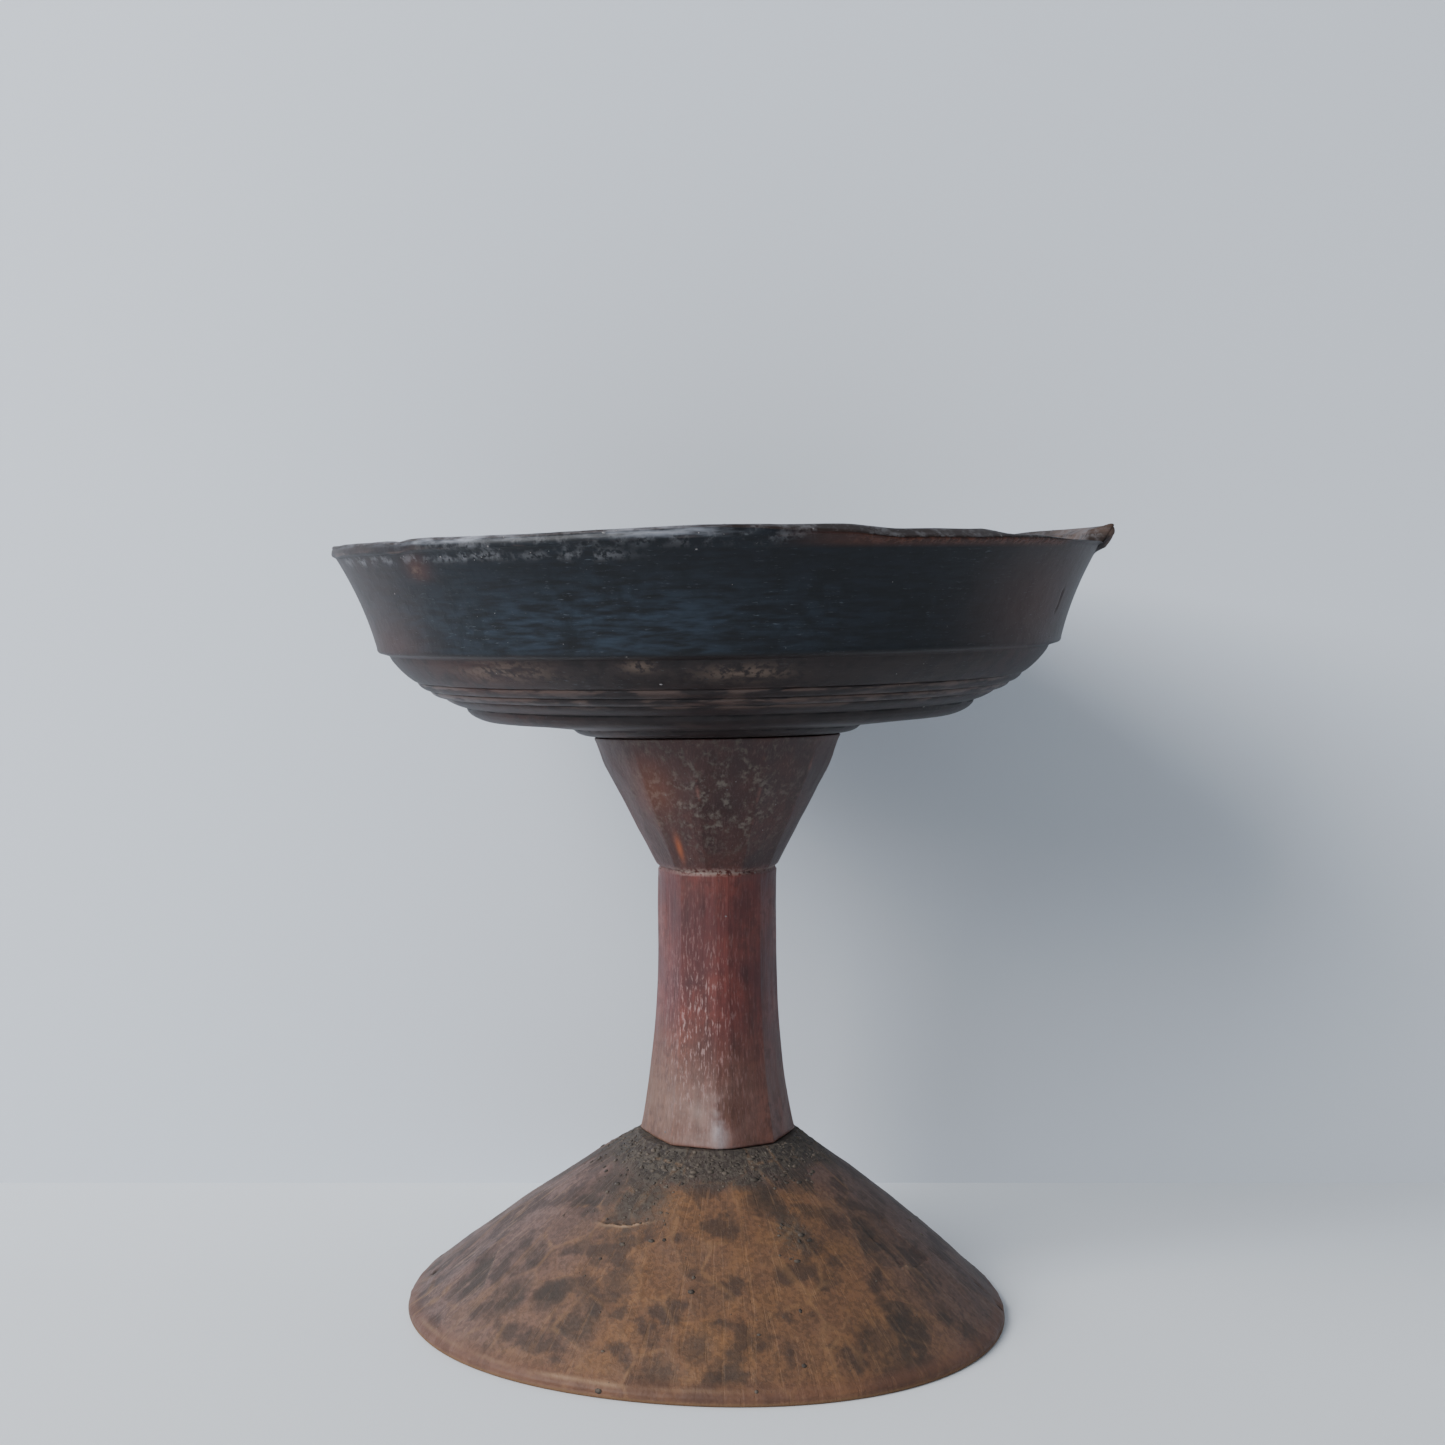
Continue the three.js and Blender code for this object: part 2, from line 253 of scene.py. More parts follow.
def dish_outline():
    radius, length = UPPER_TENON
    line = Outline(0, length + GAP)
    line.line_to(radius + GAP, length + GAP, 10)
    line.line_to(radius + GAP, 0, 10)
    line.line_to(CAPITAL_RADIUS - 1, 0, 14)
    line.curve_to((CAPITAL_RADIUS + 5, 0.2), (BOSS_RADIUS - 0.6, 2.0), 1.0)
    line.curve_to((BOSS_RADIUS + 0.4, 2.5), (BOSS_RADIUS + 2.2, 4.2), 0.5)
    line.line_to(97, 6.7, 1.8)
    line.line_to(111.4, 8.4, 1.6)
    line.groove(10, 0.7, 1.3)
    line.line_to(115.8, 9.1, 0.8)
    line.groove(18, 1.1, 1.8)
    line.bulge_to(130.2, 15.0, 1.1)
    line.curve_to((131.0, 15.6), (131.2, 16.6), 0.5)
    line.line_to(131.7, 18.0, 0.7)
    line.bulge_to(142.0, 22.4, 0.8)
    line.groove(28, 1.2, 1.6)
    line.bulge_to(149.4, 25.9, 0.7)
    line.groove(38, 1.2, 1.6)
    line.bulge_to(155.8, 30.4, 0.6)
    line.groove(44, 0.9, 1.3)
    line.bulge_to(169.6, 44.2, 1.1, 1.3)
    line.curve_to((169.9, 44.9), (171.0, 45.1), 0.4)
    line.line_to(174.6, 46.2, 1.0)
    line.curve_to((SHOULDER_RADIUS, 46.7), (SHOULDER_RADIUS + 0.1, 48.6), 0.4)
    line.curve_to((182.0, 71.2), (RIM_RADIUS - 2.2, LIP_LEVEL - 1.0), 1.1)
    line.curve_to((RIM_RADIUS - 1.1, LIP_LEVEL - 0.2), (RIM_RADIUS - 0.3, LIP_LEVEL + 0.3), 0.4)
    line.bulge_to(RIM_RADIUS - 0.5, RIM_LEVEL - 1.9, 0.4, 0.6)
    line.curve_to((RIM_RADIUS - 0.7, RIM_LEVEL), (RIM_RADIUS - 2.6, RIM_LEVEL), 0.5)
    line.line_to(RIM_RADIUS - LIP_WIDTH + 1.6, RIM_LEVEL - 0.1, 0.9)
    inner = RIM_RADIUS - LIP_WIDTH
    line.curve_to((inner, RIM_LEVEL), (inner, RIM_LEVEL - 1.6), 0.6)
    line.curve_to((BOWL_RADIUS + 4, LIP_LEVEL - 23.9), (BOWL_RADIUS - 2, SHOULDER_LEVEL + 8), 3.2)
    line.curve_to((BOWL_RADIUS - 14, FLOOR_LEVEL + 4), (FLOOR_RADIUS + 60, FLOOR_LEVEL + 2), 4)
    line.line_to(FLOOR_RADIUS, FLOOR_LEVEL, 5)
    line.line_to(0, FLOOR_LEVEL, 8)
    return line.points


def stem_outline():
    top = SEAT_Z - GAP
    line = Outline(0, TENON_END + GAP)
    line.line_to(LOWER_TENON, TENON_END + GAP, 12)
    line.line_to(LOWER_TENON, STEM_BASE, 12)
    line.line_to(STEM_BASE_RADIUS - 1.4, STEM_BASE, 6)
    line.curve_to((STEM_BASE_RADIUS, STEM_BASE), (STEM_BASE_RADIUS - 0.1, STEM_BASE + 1.4), 0.4)
    line.curve_to((WAIST_RADIUS + 0.4, STEM_BASE + 42), (WAIST_RADIUS, STEM_BASE + 95), 1.1)
    line.line_to(WAIST_RADIUS, CREASE_Z - 5, 1.1)
    line.line_to(WAIST_RADIUS + 0.2, CREASE_Z - 1.5, 0.6)
    line.line_to(WAIST_RADIUS - 0.7, CREASE_Z, 0.4)
    line.line_to(WAIST_RADIUS + 1.0, CREASE_Z + 1.6, 0.5)
    line.line_to(WAIST_RADIUS + 2.6, CREASE_Z + 5, 0.8)
    line.line_to(BELLY_RADIUS - 1.6, BELLY_Z - 3, 1.1)
    line.curve_to((BELLY_RADIUS, BELLY_Z), (BELLY_RADIUS + 1.1, BELLY_Z + 3.2), 0.9)
    line.line_to(CAPITAL_RADIUS - 0.2, top - 1, 1.1)
    line.curve_to((CAPITAL_RADIUS, top), (CAPITAL_RADIUS - 1.2, top), 0.4)
    line.line_to(UPPER_TENON[0], top, 12)
    line.line_to(UPPER_TENON[0], SEAT_Z + UPPER_TENON[1], 10)
    line.line_to(0, SEAT_Z + UPPER_TENON[1], 10)
    return line.points


def foot_outline():
    slope = (FOOT_TOP - FOOT_EDGE) / (FOOT_RADIUS - FOOT_TOP_RADIUS)
    drop = FOOT_WALL * math.hypot(1, slope)
    hollow_top = FOOT_TOP_RADIUS + (FOOT_TOP - drop - TENON_END) / slope
    hollow_foot = FOOT_TOP_RADIUS + (FOOT_TOP - drop) / slope
    lean = math.atan(slope)
    middle = ((FOOT_RADIUS + FOOT_TOP_RADIUS) / 2 + 2 * FOOT_CROWN * math.sin(lean),
              (FOOT_TOP + FOOT_EDGE) / 2 + 2 * FOOT_CROWN * math.cos(lean))
    line = Outline(LOWER_TENON + GAP, FOOT_TOP)
    line.line_to(LOWER_TENON + GAP, TENON_END, 10)
    line.line_to(hollow_top - 6, TENON_END, 9)
    line.curve_to((hollow_top, TENON_END), (hollow_top + 5, TENON_END - 5 * slope), 3)
    line.line_to(hollow_foot - 1, 1 * slope, 4)
    line.curve_to((hollow_foot, 0), (hollow_foot + 1.2, 0), 0.6)
    line.line_to(FOOT_RADIUS - 1.6, 0, 2.0)
    line.curve_to((FOOT_RADIUS, 0), (FOOT_RADIUS, 1.4), 0.5)
    line.line_to(FOOT_RADIUS, FOOT_EDGE - 1.4, 0.7)
    line.curve_to((FOOT_RADIUS - 0.2, FOOT_EDGE), (FOOT_RADIUS - 2.4, FOOT_EDGE + 1.9), 0.5)
    line.curve_to(middle, (FOOT_TOP_RADIUS + 1.5, FOOT_TOP - 1.1), 0.95)
    line.curve_to((FOOT_TOP_RADIUS, FOOT_TOP), (FOOT_TOP_RADIUS - 1.6, FOOT_TOP), 0.5)
    line.line_to(LOWER_TENON + GAP, FOOT_TOP, 4)
    return line.points


# ---- geometry nodes: turning an outline round its axis --------------------------------------

def new_tree(name, inputs):
    tree = bpy.data.node_groups.new(name, "GeometryNodeTree")
    tree.interface.new_socket("Geometry", in_out="INPUT", socket_type="NodeSocketGeometry")
    for label, kind, value in inputs:
        socket = tree.interface.new_socket(label, in_out="INPUT", socket_type=kind)
        if value is not None:
            socket.default_value = value
    tree.interface.new_socket("Geometry", in_out="OUTPUT", socket_type="NodeSocketGeometry")
    return tree


def wire(tree, source, target):
    """Links a socket to a target, or sets a plain number or colour on it."""
    if isinstance(source, (int, float, tuple)):
        target.default_value = source
    else:
        tree.links.new(source, target)


def calc(tree, operation, a, b=None):
    """One math node; sockets are linked and numbers are set."""
    node = tree.nodes.new("ShaderNodeMath")
    node.operation = operation
    for socket, value in zip(node.inputs, (a, b)):
        if value is not None:
            wire(tree, value, socket)
    return node.outputs[0]


def turning_tree():
    """Turns a row of outline points round Z: one grid column for each step of the turn."""
    tree = new_tree("Turned blank", [
        ("Steps", "NodeSocketInt", 360),
        ("Rows", "NodeSocketInt", 2),
        ("Material", "NodeSocketMaterial", None),
    ])
    nodes = tree.nodes
    given = nodes.new("NodeGroupInput").outputs
    grid = nodes.new("GeometryNodeMeshGrid")
    wire(tree, calc(tree, "ADD", given["Steps"], 1), grid.inputs["Vertices X"])
    wire(tree, given["Rows"], grid.inputs["Vertices Y"])
    index = nodes.new("GeometryNodeInputIndex").outputs[0]
    column = calc(tree, "FLOOR", calc(tree, "DIVIDE", index, given["Rows"]))
    row = calc(tree, "SUBTRACT", index, calc(tree, "MULTIPLY", column, given["Rows"]))
    sample = nodes.new("GeometryNodeSampleIndex")
    sample.data_type = "FLOAT_VECTOR"
    wire(tree, given["Geometry"], sample.inputs["Geometry"])
    wire(tree, nodes.new("GeometryNodeInputPosition").outputs[0], sample.inputs["Value"])
    wire(tree, row, sample.inputs["Index"])
    outline = nodes.new("ShaderNodeSeparateXYZ")
    wire(tree, sample.outputs[0], outline.inputs[0])
    turn = calc(tree, "MULTIPLY", calc(tree, "DIVIDE", column, given["Steps"]), math.tau)
    place = nodes.new("ShaderNodeCombineXYZ")
    for i, way in enumerate(("COSINE", "SINE")):
        across = calc(tree, "MULTIPLY", outline.outputs[0], calc(tree, way, turn))
        wire(tree, across, place.inputs[i])
    wire(tree, outline.outputs[2], place.inputs[2])
    moved = nodes.new("GeometryNodeSetPosition")
    wire(tree, grid.outputs["Mesh"], moved.inputs["Geometry"])
    wire(tree, place.outputs[0], moved.inputs["Position"])
    closed = nodes.new("GeometryNodeMergeByDistance")
    closed.inputs["Distance"].default_value = 1e-7
    wire(tree, moved.outputs[0], closed.inputs["Geometry"])
    real = nodes.new("GeometryNodeRealizeInstances")
    wire(tree, closed.outputs[0], real.inputs["Geometry"])
    dressed = nodes.new("GeometryNodeSetMaterial")
    wire(tree, real.outputs[0], dressed.inputs["Geometry"])
    wire(tree, given["Material"], dressed.inputs["Material"])
    wire(tree, dressed.outputs[0], nodes.new("NodeGroupOutput").inputs[0])
    return tree


def field_of(tree, name, kind="FLOAT"):
    """A field that was written on the mesh, read by its name."""
    node = tree.nodes.new("GeometryNodeInputNamedAttribute")
    node.data_type = kind
    node.inputs["Name"].default_value = name
    return node.outputs["Attribute"]


def dress(tree, geometry, material):
    """Ends a tree: the instances are made real and take their material."""
    real = tree.nodes.new("GeometryNodeRealizeInstances")
    wire(tree, geometry, real.inputs["Geometry"])
    dressed = tree.nodes.new("GeometryNodeSetMaterial")
    wire(tree, real.outputs[0], dressed.inputs["Geometry"])
    wire(tree, material, dressed.inputs["Material"])
    wire(tree, dressed.outputs[0], tree.nodes.new("NodeGroupOutput").inputs[0])
    return tree


def cuts_tree():
    """Scoops the surface as an adze does: cells deepest in their middles, ridges between."""
    tree = new_tree("Adze cuts", [
        ("Cuts per metre", "NodeSocketFloat", 70.0),
        ("Depth", "NodeSocketFloat", 0.001),
        ("Seed", "NodeSocketFloat", 0.0),
        ("Material", "NodeSocketMaterial", None),
    ])
    nodes = tree.nodes
    given = nodes.new("NodeGroupInput").outputs
    cells = cell_pattern(tree, field_of(tree, "cut_place", "FLOAT_VECTOR"),
                         given["Cuts per metre"], given["Seed"])
    far = calc(tree, "MINIMUM", calc(tree, "MULTIPLY", cells["Distance"], 1.25), 1.0)
    scoop = calc(tree, "SUBTRACT", 1.0, calc(tree, "POWER", far, 2.0))
    shade = nodes.new("ShaderNodeSeparateXYZ")
    wire(tree, cells["Color"], shade.inputs[0])
    vary = calc(tree, "ADD", calc(tree, "MULTIPLY", shade.outputs[0], 0.8), 0.4)
    sink = calc(tree, "MULTIPLY", calc(tree, "MULTIPLY", scoop, vary), field_of(tree, "cut_depth"))
    push = nodes.new("ShaderNodeVectorMath")
    push.operation = "SCALE"
    wire(tree, nodes.new("GeometryNodeInputNormal").outputs[0], push.inputs[0])
    wire(tree, calc(tree, "MULTIPLY", sink, calc(tree, "MULTIPLY", given["Depth"], -1.0)),
         push.inputs["Scale"])
    moved = nodes.new("GeometryNodeSetPosition")
    wire(tree, given["Geometry"], moved.inputs["Geometry"])
    wire(tree, push.outputs[0], moved.inputs["Offset"])
    return dress(tree, moved.outputs[0], given["Material"])


def crust_tree():
    """Strews small flat lumps over a surface, thickest where its field `crust` is high."""
    tree = new_tree("Crust", [
        ("Lumps per square metre", "NodeSocketFloat", 10000.0),
        ("Smallest", "NodeSocketFloat", 0.0002),
        ("Largest", "NodeSocketFloat", 0.0008),
        ("Thickness", "NodeSocketFloat", 0.4),
        ("Seed", "NodeSocketInt", 1),
        ("Material", "NodeSocketMaterial", None),
    ])
    nodes = tree.nodes
    given = nodes.new("NodeGroupInput").outputs
    strewn = nodes.new("GeometryNodeDistributePointsOnFaces")
    wire(tree, given["Geometry"], strewn.inputs["Mesh"])
    wire(tree, calc(tree, "MULTIPLY", given["Lumps per square metre"], field_of(tree, "crust")),
         strewn.inputs["Density"])
    wire(tree, given["Seed"], strewn.inputs["Seed"])
    lump = nodes.new("GeometryNodeMeshIcoSphere")
    lump.inputs["Radius"].default_value = 1.0
    lump.inputs["Subdivisions"].default_value = 1
    size = nodes.new("FunctionNodeRandomValue")
    wire(tree, calc(tree, "MULTIPLY", given["Seed"], 3.0), size.inputs["Seed"])
    share = calc(tree, "POWER", size.outputs[1], 3.0)
    width = calc(tree, "ADD", given["Smallest"], calc(tree, "MULTIPLY", share, calc(
        tree, "SUBTRACT", given["Largest"], given["Smallest"])))
    stretch = nodes.new("FunctionNodeRandomValue")
    stretch.inputs[2].default_value = 0.6
    stretch.inputs[3].default_value = 1.9
    shape = nodes.new("ShaderNodeCombineXYZ")
    wire(tree, calc(tree, "MULTIPLY", width, stretch.outputs[1]), shape.inputs[0])
    wire(tree, width, shape.inputs[1])
    wire(tree, calc(tree, "MULTIPLY", width, given["Thickness"]), shape.inputs[2])
    laid = nodes.new("GeometryNodeInstanceOnPoints")
    wire(tree, strewn.outputs["Points"], laid.inputs["Points"])
    wire(tree, lump.outputs["Mesh"], laid.inputs["Instance"])
    wire(tree, strewn.outputs["Rotation"], laid.inputs["Rotation"])
    wire(tree, shape.outputs[0], laid.inputs["Scale"])
    return dress(tree, laid.outputs[0], given["Material"])


def grown(start, tree, values, name):
    """The finished mesh object that a geometry nodes tree makes from the start object."""
    modifier = start.modifiers.new("grow", "NODES")
    modifier.node_group = tree
    for item in tree.interface.items_tree:
        if item.in_out == "INPUT" and item.name in values:
            modifier[item.identifier] = values[item.name]
    start.update_tag()
    bpy.context.view_layer.update()
    evaluated = start.evaluated_get(bpy.context.evaluated_depsgraph_get())
    mesh = bpy.data.meshes.new_from_object(evaluated)
    start.modifiers.remove(modifier)
    bpy.data.objects.remove(start)
    mesh.name = name
    piece = bpy.data.objects.new(name, mesh)
    bpy.context.collection.objects.link(piece)
    return piece


def turned(name, outline, steps, material):
    mesh = bpy.data.meshes.new(name + " outline")
    points = [(r * MM, 0, z * MM) for r, z in outline]
    mesh.from_pydata(points, [(i, i + 1) for i in range(len(points) - 1)], [])
    start = bpy.data.objects.new(name + " outline", mesh)
    bpy.context.collection.objects.link(start)
    values = {"Steps": steps, "Rows": len(points), "Material": material}
    return grown(start, TURNING, values, name)


def scooped(piece, per_metre, depth, seed, material, name):
    values = {"Cuts per metre": per_metre, "Depth": depth * MM, "Seed": seed, "Material": material}
    return grown(piece, CUTS, values, name)


def crust_on(piece, name, lumps, sizes, seed, material):
    """A piece of its own: the lumps that lie on another piece's surface."""
    start = bpy.data.objects.new(name + " ground", piece.data.copy())
    bpy.context.collection.objects.link(start)
    values = {"Lumps per square metre": float(lumps), "Smallest": sizes[0] * MM,
              "Largest": sizes[1] * MM, "Thickness": sizes[2], "Seed": seed, "Material": material}
    return grown(start, CRUST, values, name)


# ---- points and fields ----------------------------------------------------------------------

def read_points(piece):
    flat = np.empty(len(piece.data.vertices) * 3)
    piece.data.vertices.foreach_get("co", flat)
    return flat.reshape(-1, 3) / MM


def write_points(piece, points):
    piece.data.vertices.foreach_set("co", (points * MM).ravel())
    piece.data.update()


def write_fields(piece, **fields):
    for name, values in fields.items():
        field = piece.data.attributes.new(name, "FLOAT", "POINT")
        field.data.foreach_set("value", np.asarray(values, dtype=np.float32))


def ramp(value, low, high):
    """0 below low, 1 above high, and a smooth step between."""
    t = np.clip((value - low) / (high - low), 0, 1)
    return t * t * (3 - 2 * t)


def hump(value, middle, half):
    """1 at the middle, falling smoothly to 0 at half either side."""
    return 1 - ramp(np.abs(value - middle), 0, half)


def lattice_hash(i, j, k, seed):
    mixed = (i * 374761393 + j * 668265263 + k * 2147483647 + seed * 974634777) & 0xFFFFFFFF
    mixed = ((mixed ^ (mixed >> 13)) * 1274126177) & 0xFFFFFFFF
    return ((mixed ^ (mixed >> 16)) & 0xFFFF) / 0xFFFF


def noise(points, size, seed=0):
    """Smooth noise from -1 to 1 whose lumps are about `size` across."""
    scaled = points / size
    base = np.floor(scaled).astype(np.int64)
    part = scaled - base
    part = part * part * (3 - 2 * part)
    total = np.zeros(len(points))
    for dx in (0, 1):
        for dy in (0, 1):
            for dz in (0, 1):
                weight = (part[:, 0] if dx else 1 - part[:, 0])
                weight = weight * (part[:, 1] if dy else 1 - part[:, 1])
                weight = weight * (part[:, 2] if dz else 1 - part[:, 2])
                corner = lattice_hash(base[:, 0] + dx, base[:, 1] + dy, base[:, 2] + dz, seed)
                total += weight * corner
    return total * 2 - 1


def angle_apart(angle, other):
    return (angle - other + 180) % 360 - 180


def relief(piece, rounds):
    """How far each point stands proud of its smoothed surroundings, in millimetres."""
    points = read_points(piece)
    count = len(points)
    ends = np.empty(len(piece.data.edges) * 2, dtype=np.int32)
    piece.data.edges.foreach_get("vertices", ends)
    first, second = ends[0::2], ends[1::2]
    shared = np.bincount(ends, minlength=count)[:, None]
    smooth = points
    for _ in range(rounds):
        total = [np.bincount(first, smooth[second, i], count)
                 + np.bincount(second, smooth[first, i], count) for i in range(3)]
        smooth = np.stack(total, 1) / shared
    normals = np.empty(count * 3)
    piece.data.vertices.foreach_get("normal", normals)
    return np.einsum("ij,ij->i", points - smooth, normals.reshape(-1, 3))


def write_place(piece, name, places):
    field = piece.data.attributes.new(name, "FLOAT_VECTOR", "POINT")
    field.data.foreach_set("vector", (places * MM).astype(np.float32).ravel())


def patch(along, across, middle, reach):
    """A soft oval patch: 1 in its middle, fading out over its reach along and across."""
    far = (angle_apart(along, middle[0]) / reach[0]) ** 2 + ((across - middle[1]) / reach[1]) ** 2
    return np.exp(-far)


def turned_back(points):
    """The angle, radius and height of points, the other way round from `around`."""
    angle = np.degrees(np.arctan2(points[:, 1], points[:, 0]))
    return angle, np.hypot(points[:, 0], points[:, 1]), points[:, 2]


def around(angle, radius, height):
    turn = np.radians(angle)
    return np.stack([radius * np.cos(turn), radius * np.sin(turn), height], 1)


# ---- dish -----------------------------------------------------------------------------------

RING_FOOT = (CAPITAL_RADIUS + SHOULDER_RADIUS) / 2


def seat_lift(angle, radius, height):
    """The slanting seat lifts the underside; the lift has faded out where the rings begin."""
    fade = 1 - ramp(radius, RING_FOOT - 8, RING_FOOT + 8)
    below = 1 - ramp(height, 18.8, FLOOR_LEVEL)
    rise = -np.sin(np.radians(angle)) * np.minimum(radius, CAPITAL_RADIUS) * math.tan(SEAT_SLANT)
    return rise * fade * below


def crowd_columns(points):
    """Slides the columns round so that more of them lie by the pouring lip's cut."""
    angle, radius, height = turned_back(points)
    even = [-180, -42, 22, 180]
    crowded = [-180, -30, -2, 180]
    return np.interp(angle, even, crowded), radius, height.copy()


def shape_lip(angle, radius, height):
    """The hand-cut rim: its waves, the worn near edge, the pouring trough and the horn."""
    lip = ramp(height, LIP_LEVEL - 2, LIP_LEVEL + 0.5)
    outer = ramp(radius, RIM_RADIUS - LIP_WIDTH, RIM_RADIUS - 1)
    ring = around(angle, 60, 0 * height)
    front = angle < 60                         # the rules below count from the lip, not the seam

    far_side = ramp(angle, HORN_ANGLE - 0.8, HORN_ANGLE)
    inner_cut = ramp(angle, -52, -45)
    outer_cut = ramp(angle, -43, -31)
    trough = (inner_cut * (1 - outer) + outer_cut * outer) * (1 - far_side) * front
    horn = far_side * (1 - ramp(angle, 24, 46)) * front
    reach = far_side * (1 - ramp(angle, HORN_ANGLE, 18)) * front
    under = ramp(height, LIP_LEVEL - 5.5, LIP_LEVEL - 0.5)

    swell = 2.3 * ramp(angle, -118, -84) * (1 - ramp(angle, -74, -65)) * front
    swell -= 0.7 * (1 - ramp(angle, -146, -128)) * ramp(angle, -176, -160)
    swell -= 1.0 * hump(angle_apart(angle, -138), 0, 3.2)
    swell += 0.22 * noise(ring, 15, 1) + 0.14 * noise(ring, 5, 2) + 0.06 * noise(ring, 1.7, 3)
    worn = 2.9 * ramp(angle, -94, -68) * (1 - ramp(angle, -43, -31)) * front

    level = LIP_LEVEL + (height - LIP_LEVEL) * np.where(height > LIP_LEVEL, 1 - 0.84 * trough, 1)
    level += HORN_RISE * horn * lip * (0.25 + 0.75 * outer)
    level += lip * swell * (1 - trough) * (1 - horn)
    top = ramp(height, LIP_LEVEL + 0.8, LIP_LEVEL + 3.6)
    level -= top * worn * outer ** 2
    return radius + HORN_REACH * reach * under * outer, level


# soft patches on the dish: where their middles lie and how far they reach, in degrees round the
# axis and in level; the pale ones start with how strong they are
TAN_PATCHES = (((-127, 39.5), (9, 4.2)), ((-102, 42), (2.4, 2.6)), ((-86, 38.6), (6.5, 3.6)),
               ((95, 40), (12, 4)), ((40, 37), (7, 3)), ((168, 41), (9, 3)))
PALE_LIP = ((0.4, (-117, 97), (17, 4.5)), (0.5, (-88, 98), (9, 3)), (0.4, (70, 98), (30, 4)))
PALE_WALL = ((0.8, (-150, 91.5), (14, 2.0)), (0.7, (-124, 91.5), (9, 1.6)),
             (0.6, (-107, 91), (5, 2.0)))


def dish_fields(piece, angle, radius, level, outside):
    """Where the finishes lie on the dish, as fields that its material reads."""
    wall = outside * ramp(level, 46, 49)
    bands = outside * (1 - ramp(level, 44, 48))
    # left and right are the wall's sides, where a brown reflection is painted
    left = 1 - ramp(angle, -152, -131) + ramp(angle, 60, 100)
    right = ramp(angle, -58, -30) * (1 - ramp(angle, 20, 60))
    spot = patch(angle, level, (-135.4, 87), (2.6, 7)) * ramp(level, 78, 84)
    # the large patch on the wall's right side is a painted reddish reflection; the spot and the
    # bands' russet are the wood's colour
    russet = 0.75 * patch(angle, level, (-34, 66), (13, 26)) + 0.9 * spot
    russet += 0.5 * left * patch(angle, level, (-152, 52), (16, 10))
    russet += bands * (0.12 + 0.6 * hump(angle, -136, 26) + 0.2 * ramp(angle, 40, 80))
    tan = spot * patch(angle, level, (-136.2, 85.5), (0.9, 2.2)) * 1.4
    for middle, reach in TAN_PATCHES:
        tan += patch(angle, level, middle, reach)
    # a painted bluish sheen: sky reflected on the black wall
    bloom = wall * (0.15 + patch(angle, level, (-106, 60), (30, 17)))
    bloom += wall * 0.35 * patch(angle, level, (80, 66), (50, 24))
    lip = ramp(level, LIP_LEVEL - 3, LIP_LEVEL) * outside
    pale = 0.4 * (1 - outside) * ramp(level, 80, 96)
    for amount, middle, reach in PALE_LIP:
        pale += amount * lip * patch(angle, level, middle, reach)
    for amount, middle, reach in PALE_WALL:
        pale += amount * patch(angle, level, middle, reach)
    # a painted highlight along the lip's top outer edge
    edge = hump(radius, RIM_RADIUS - 1.6, 2.6) * ramp(level, LIP_LEVEL + 2, LIP_LEVEL + 4)
    gleam = hump(angle, -128, 20) + 0.7 * hump(angle, -97, 14) + 0.3 * hump(angle, -150, 12)
    bead = lip * ramp(angle, -84, -64) * (1 - ramp(angle, -36, -32)) * ramp(radius, 190, 194)
    horn = ramp(level, LIP_LEVEL - 1, LIP_LEVEL + 2)
    horn *= ramp(angle, -14, -12) * (1 - ramp(angle, 10, 30))
    crust = 0.5 * pale * (level > LIP_LEVEL - 12) * (radius > 185) + 0.2 * lip * right
    crust += 0.9 * patch(angle, level, (-55, 38.8), (4.5, 1.6))
    crust += 0.12 * hump(level, 46, 1.6) * outside + 0.008 * outside
    crust *= 1 - ramp(angle, -34, -30) * (1 - ramp(angle, 10, 20))
    write_fields(
        piece, bead=bead, bands=bands, inside=1 - outside,
        gleam=np.clip(edge * gleam, 0, 1),
        horn=horn * (radius > 186) * (angle < 60),
        # painted brown reflection at the wall's sides
        warm=np.clip(left * wall + 0.8 * right * wall, 0, 1),
        russet=np.clip(russet * outside, 0, 1),
        tan=np.clip(tan * outside, 0, 1),
        # painted bluish sheen on the wall
        bloom=np.clip(bloom, 0, 1),
        pale=np.clip(pale, 0, 1),
        crust=np.clip(crust, 0, 1) * (radius > BOSS_RADIUS))
    write_place(piece, "ring_place", around(angle, 30, level + 0.15 * radius))


def shape_dish(piece):
    angle, radius, height = crowd_columns(read_points(piece))
    inner_wall = BOWL_RADIUS + 0.62 * (height - SHOULDER_LEVEL)
    outside = (radius > CAPITAL_RADIUS + 2) & (height < RIM_LEVEL - 0.05)
    outside &= (radius > inner_wall) | (height < FLOOR_LEVEL - 0.5)
    radius, level = shape_lip(angle, radius, height)
    ring = around(angle, 180, height)
    unround = 0.3 * noise(ring, 70, 5) + 0.12 * noise(ring, 24, 6) - 0.4
    crack = hump(angle, -25.4 + 0.5 * noise(ring, 6, 7), 0.55)
    crack *= ramp(level, 60, 63) * (1 - ramp(level, 71, 75))
    crack += hump(angle, -9, 0.5) * ramp(level, 50, 53) * (1 - ramp(level, 58, 66))
    split = hump(level, 30.6 + 0.35 * (angle + 80), 0.6) * hump(angle, -80, 7)
    skin = outside * ramp(radius, 66, 90)
    radius = radius + skin * (unround - 0.7 * crack - 0.8 * split * (angle < 0))
    level = level + seat_lift(angle, radius, height)
    dish_fields(piece, angle, radius, level, outside.astype(float))
    place = around(angle, radius, level)
    place[:, 0] += DISH_OFFSET * ramp(radius, BOSS_RADIUS, BOSS_RADIUS + 27)
    cos, sin = math.cos(DISH_TILT), math.sin(DISH_TILT)
    x = place[:, 0] * cos - place[:, 2] * sin
    z = place[:, 0] * sin + place[:, 2] * cos
    write_points(piece, np.stack([x + STEM_X, place[:, 1], z + SEAT_Z], 1))


# ---- stem -----------------------------------------------------------------------------------

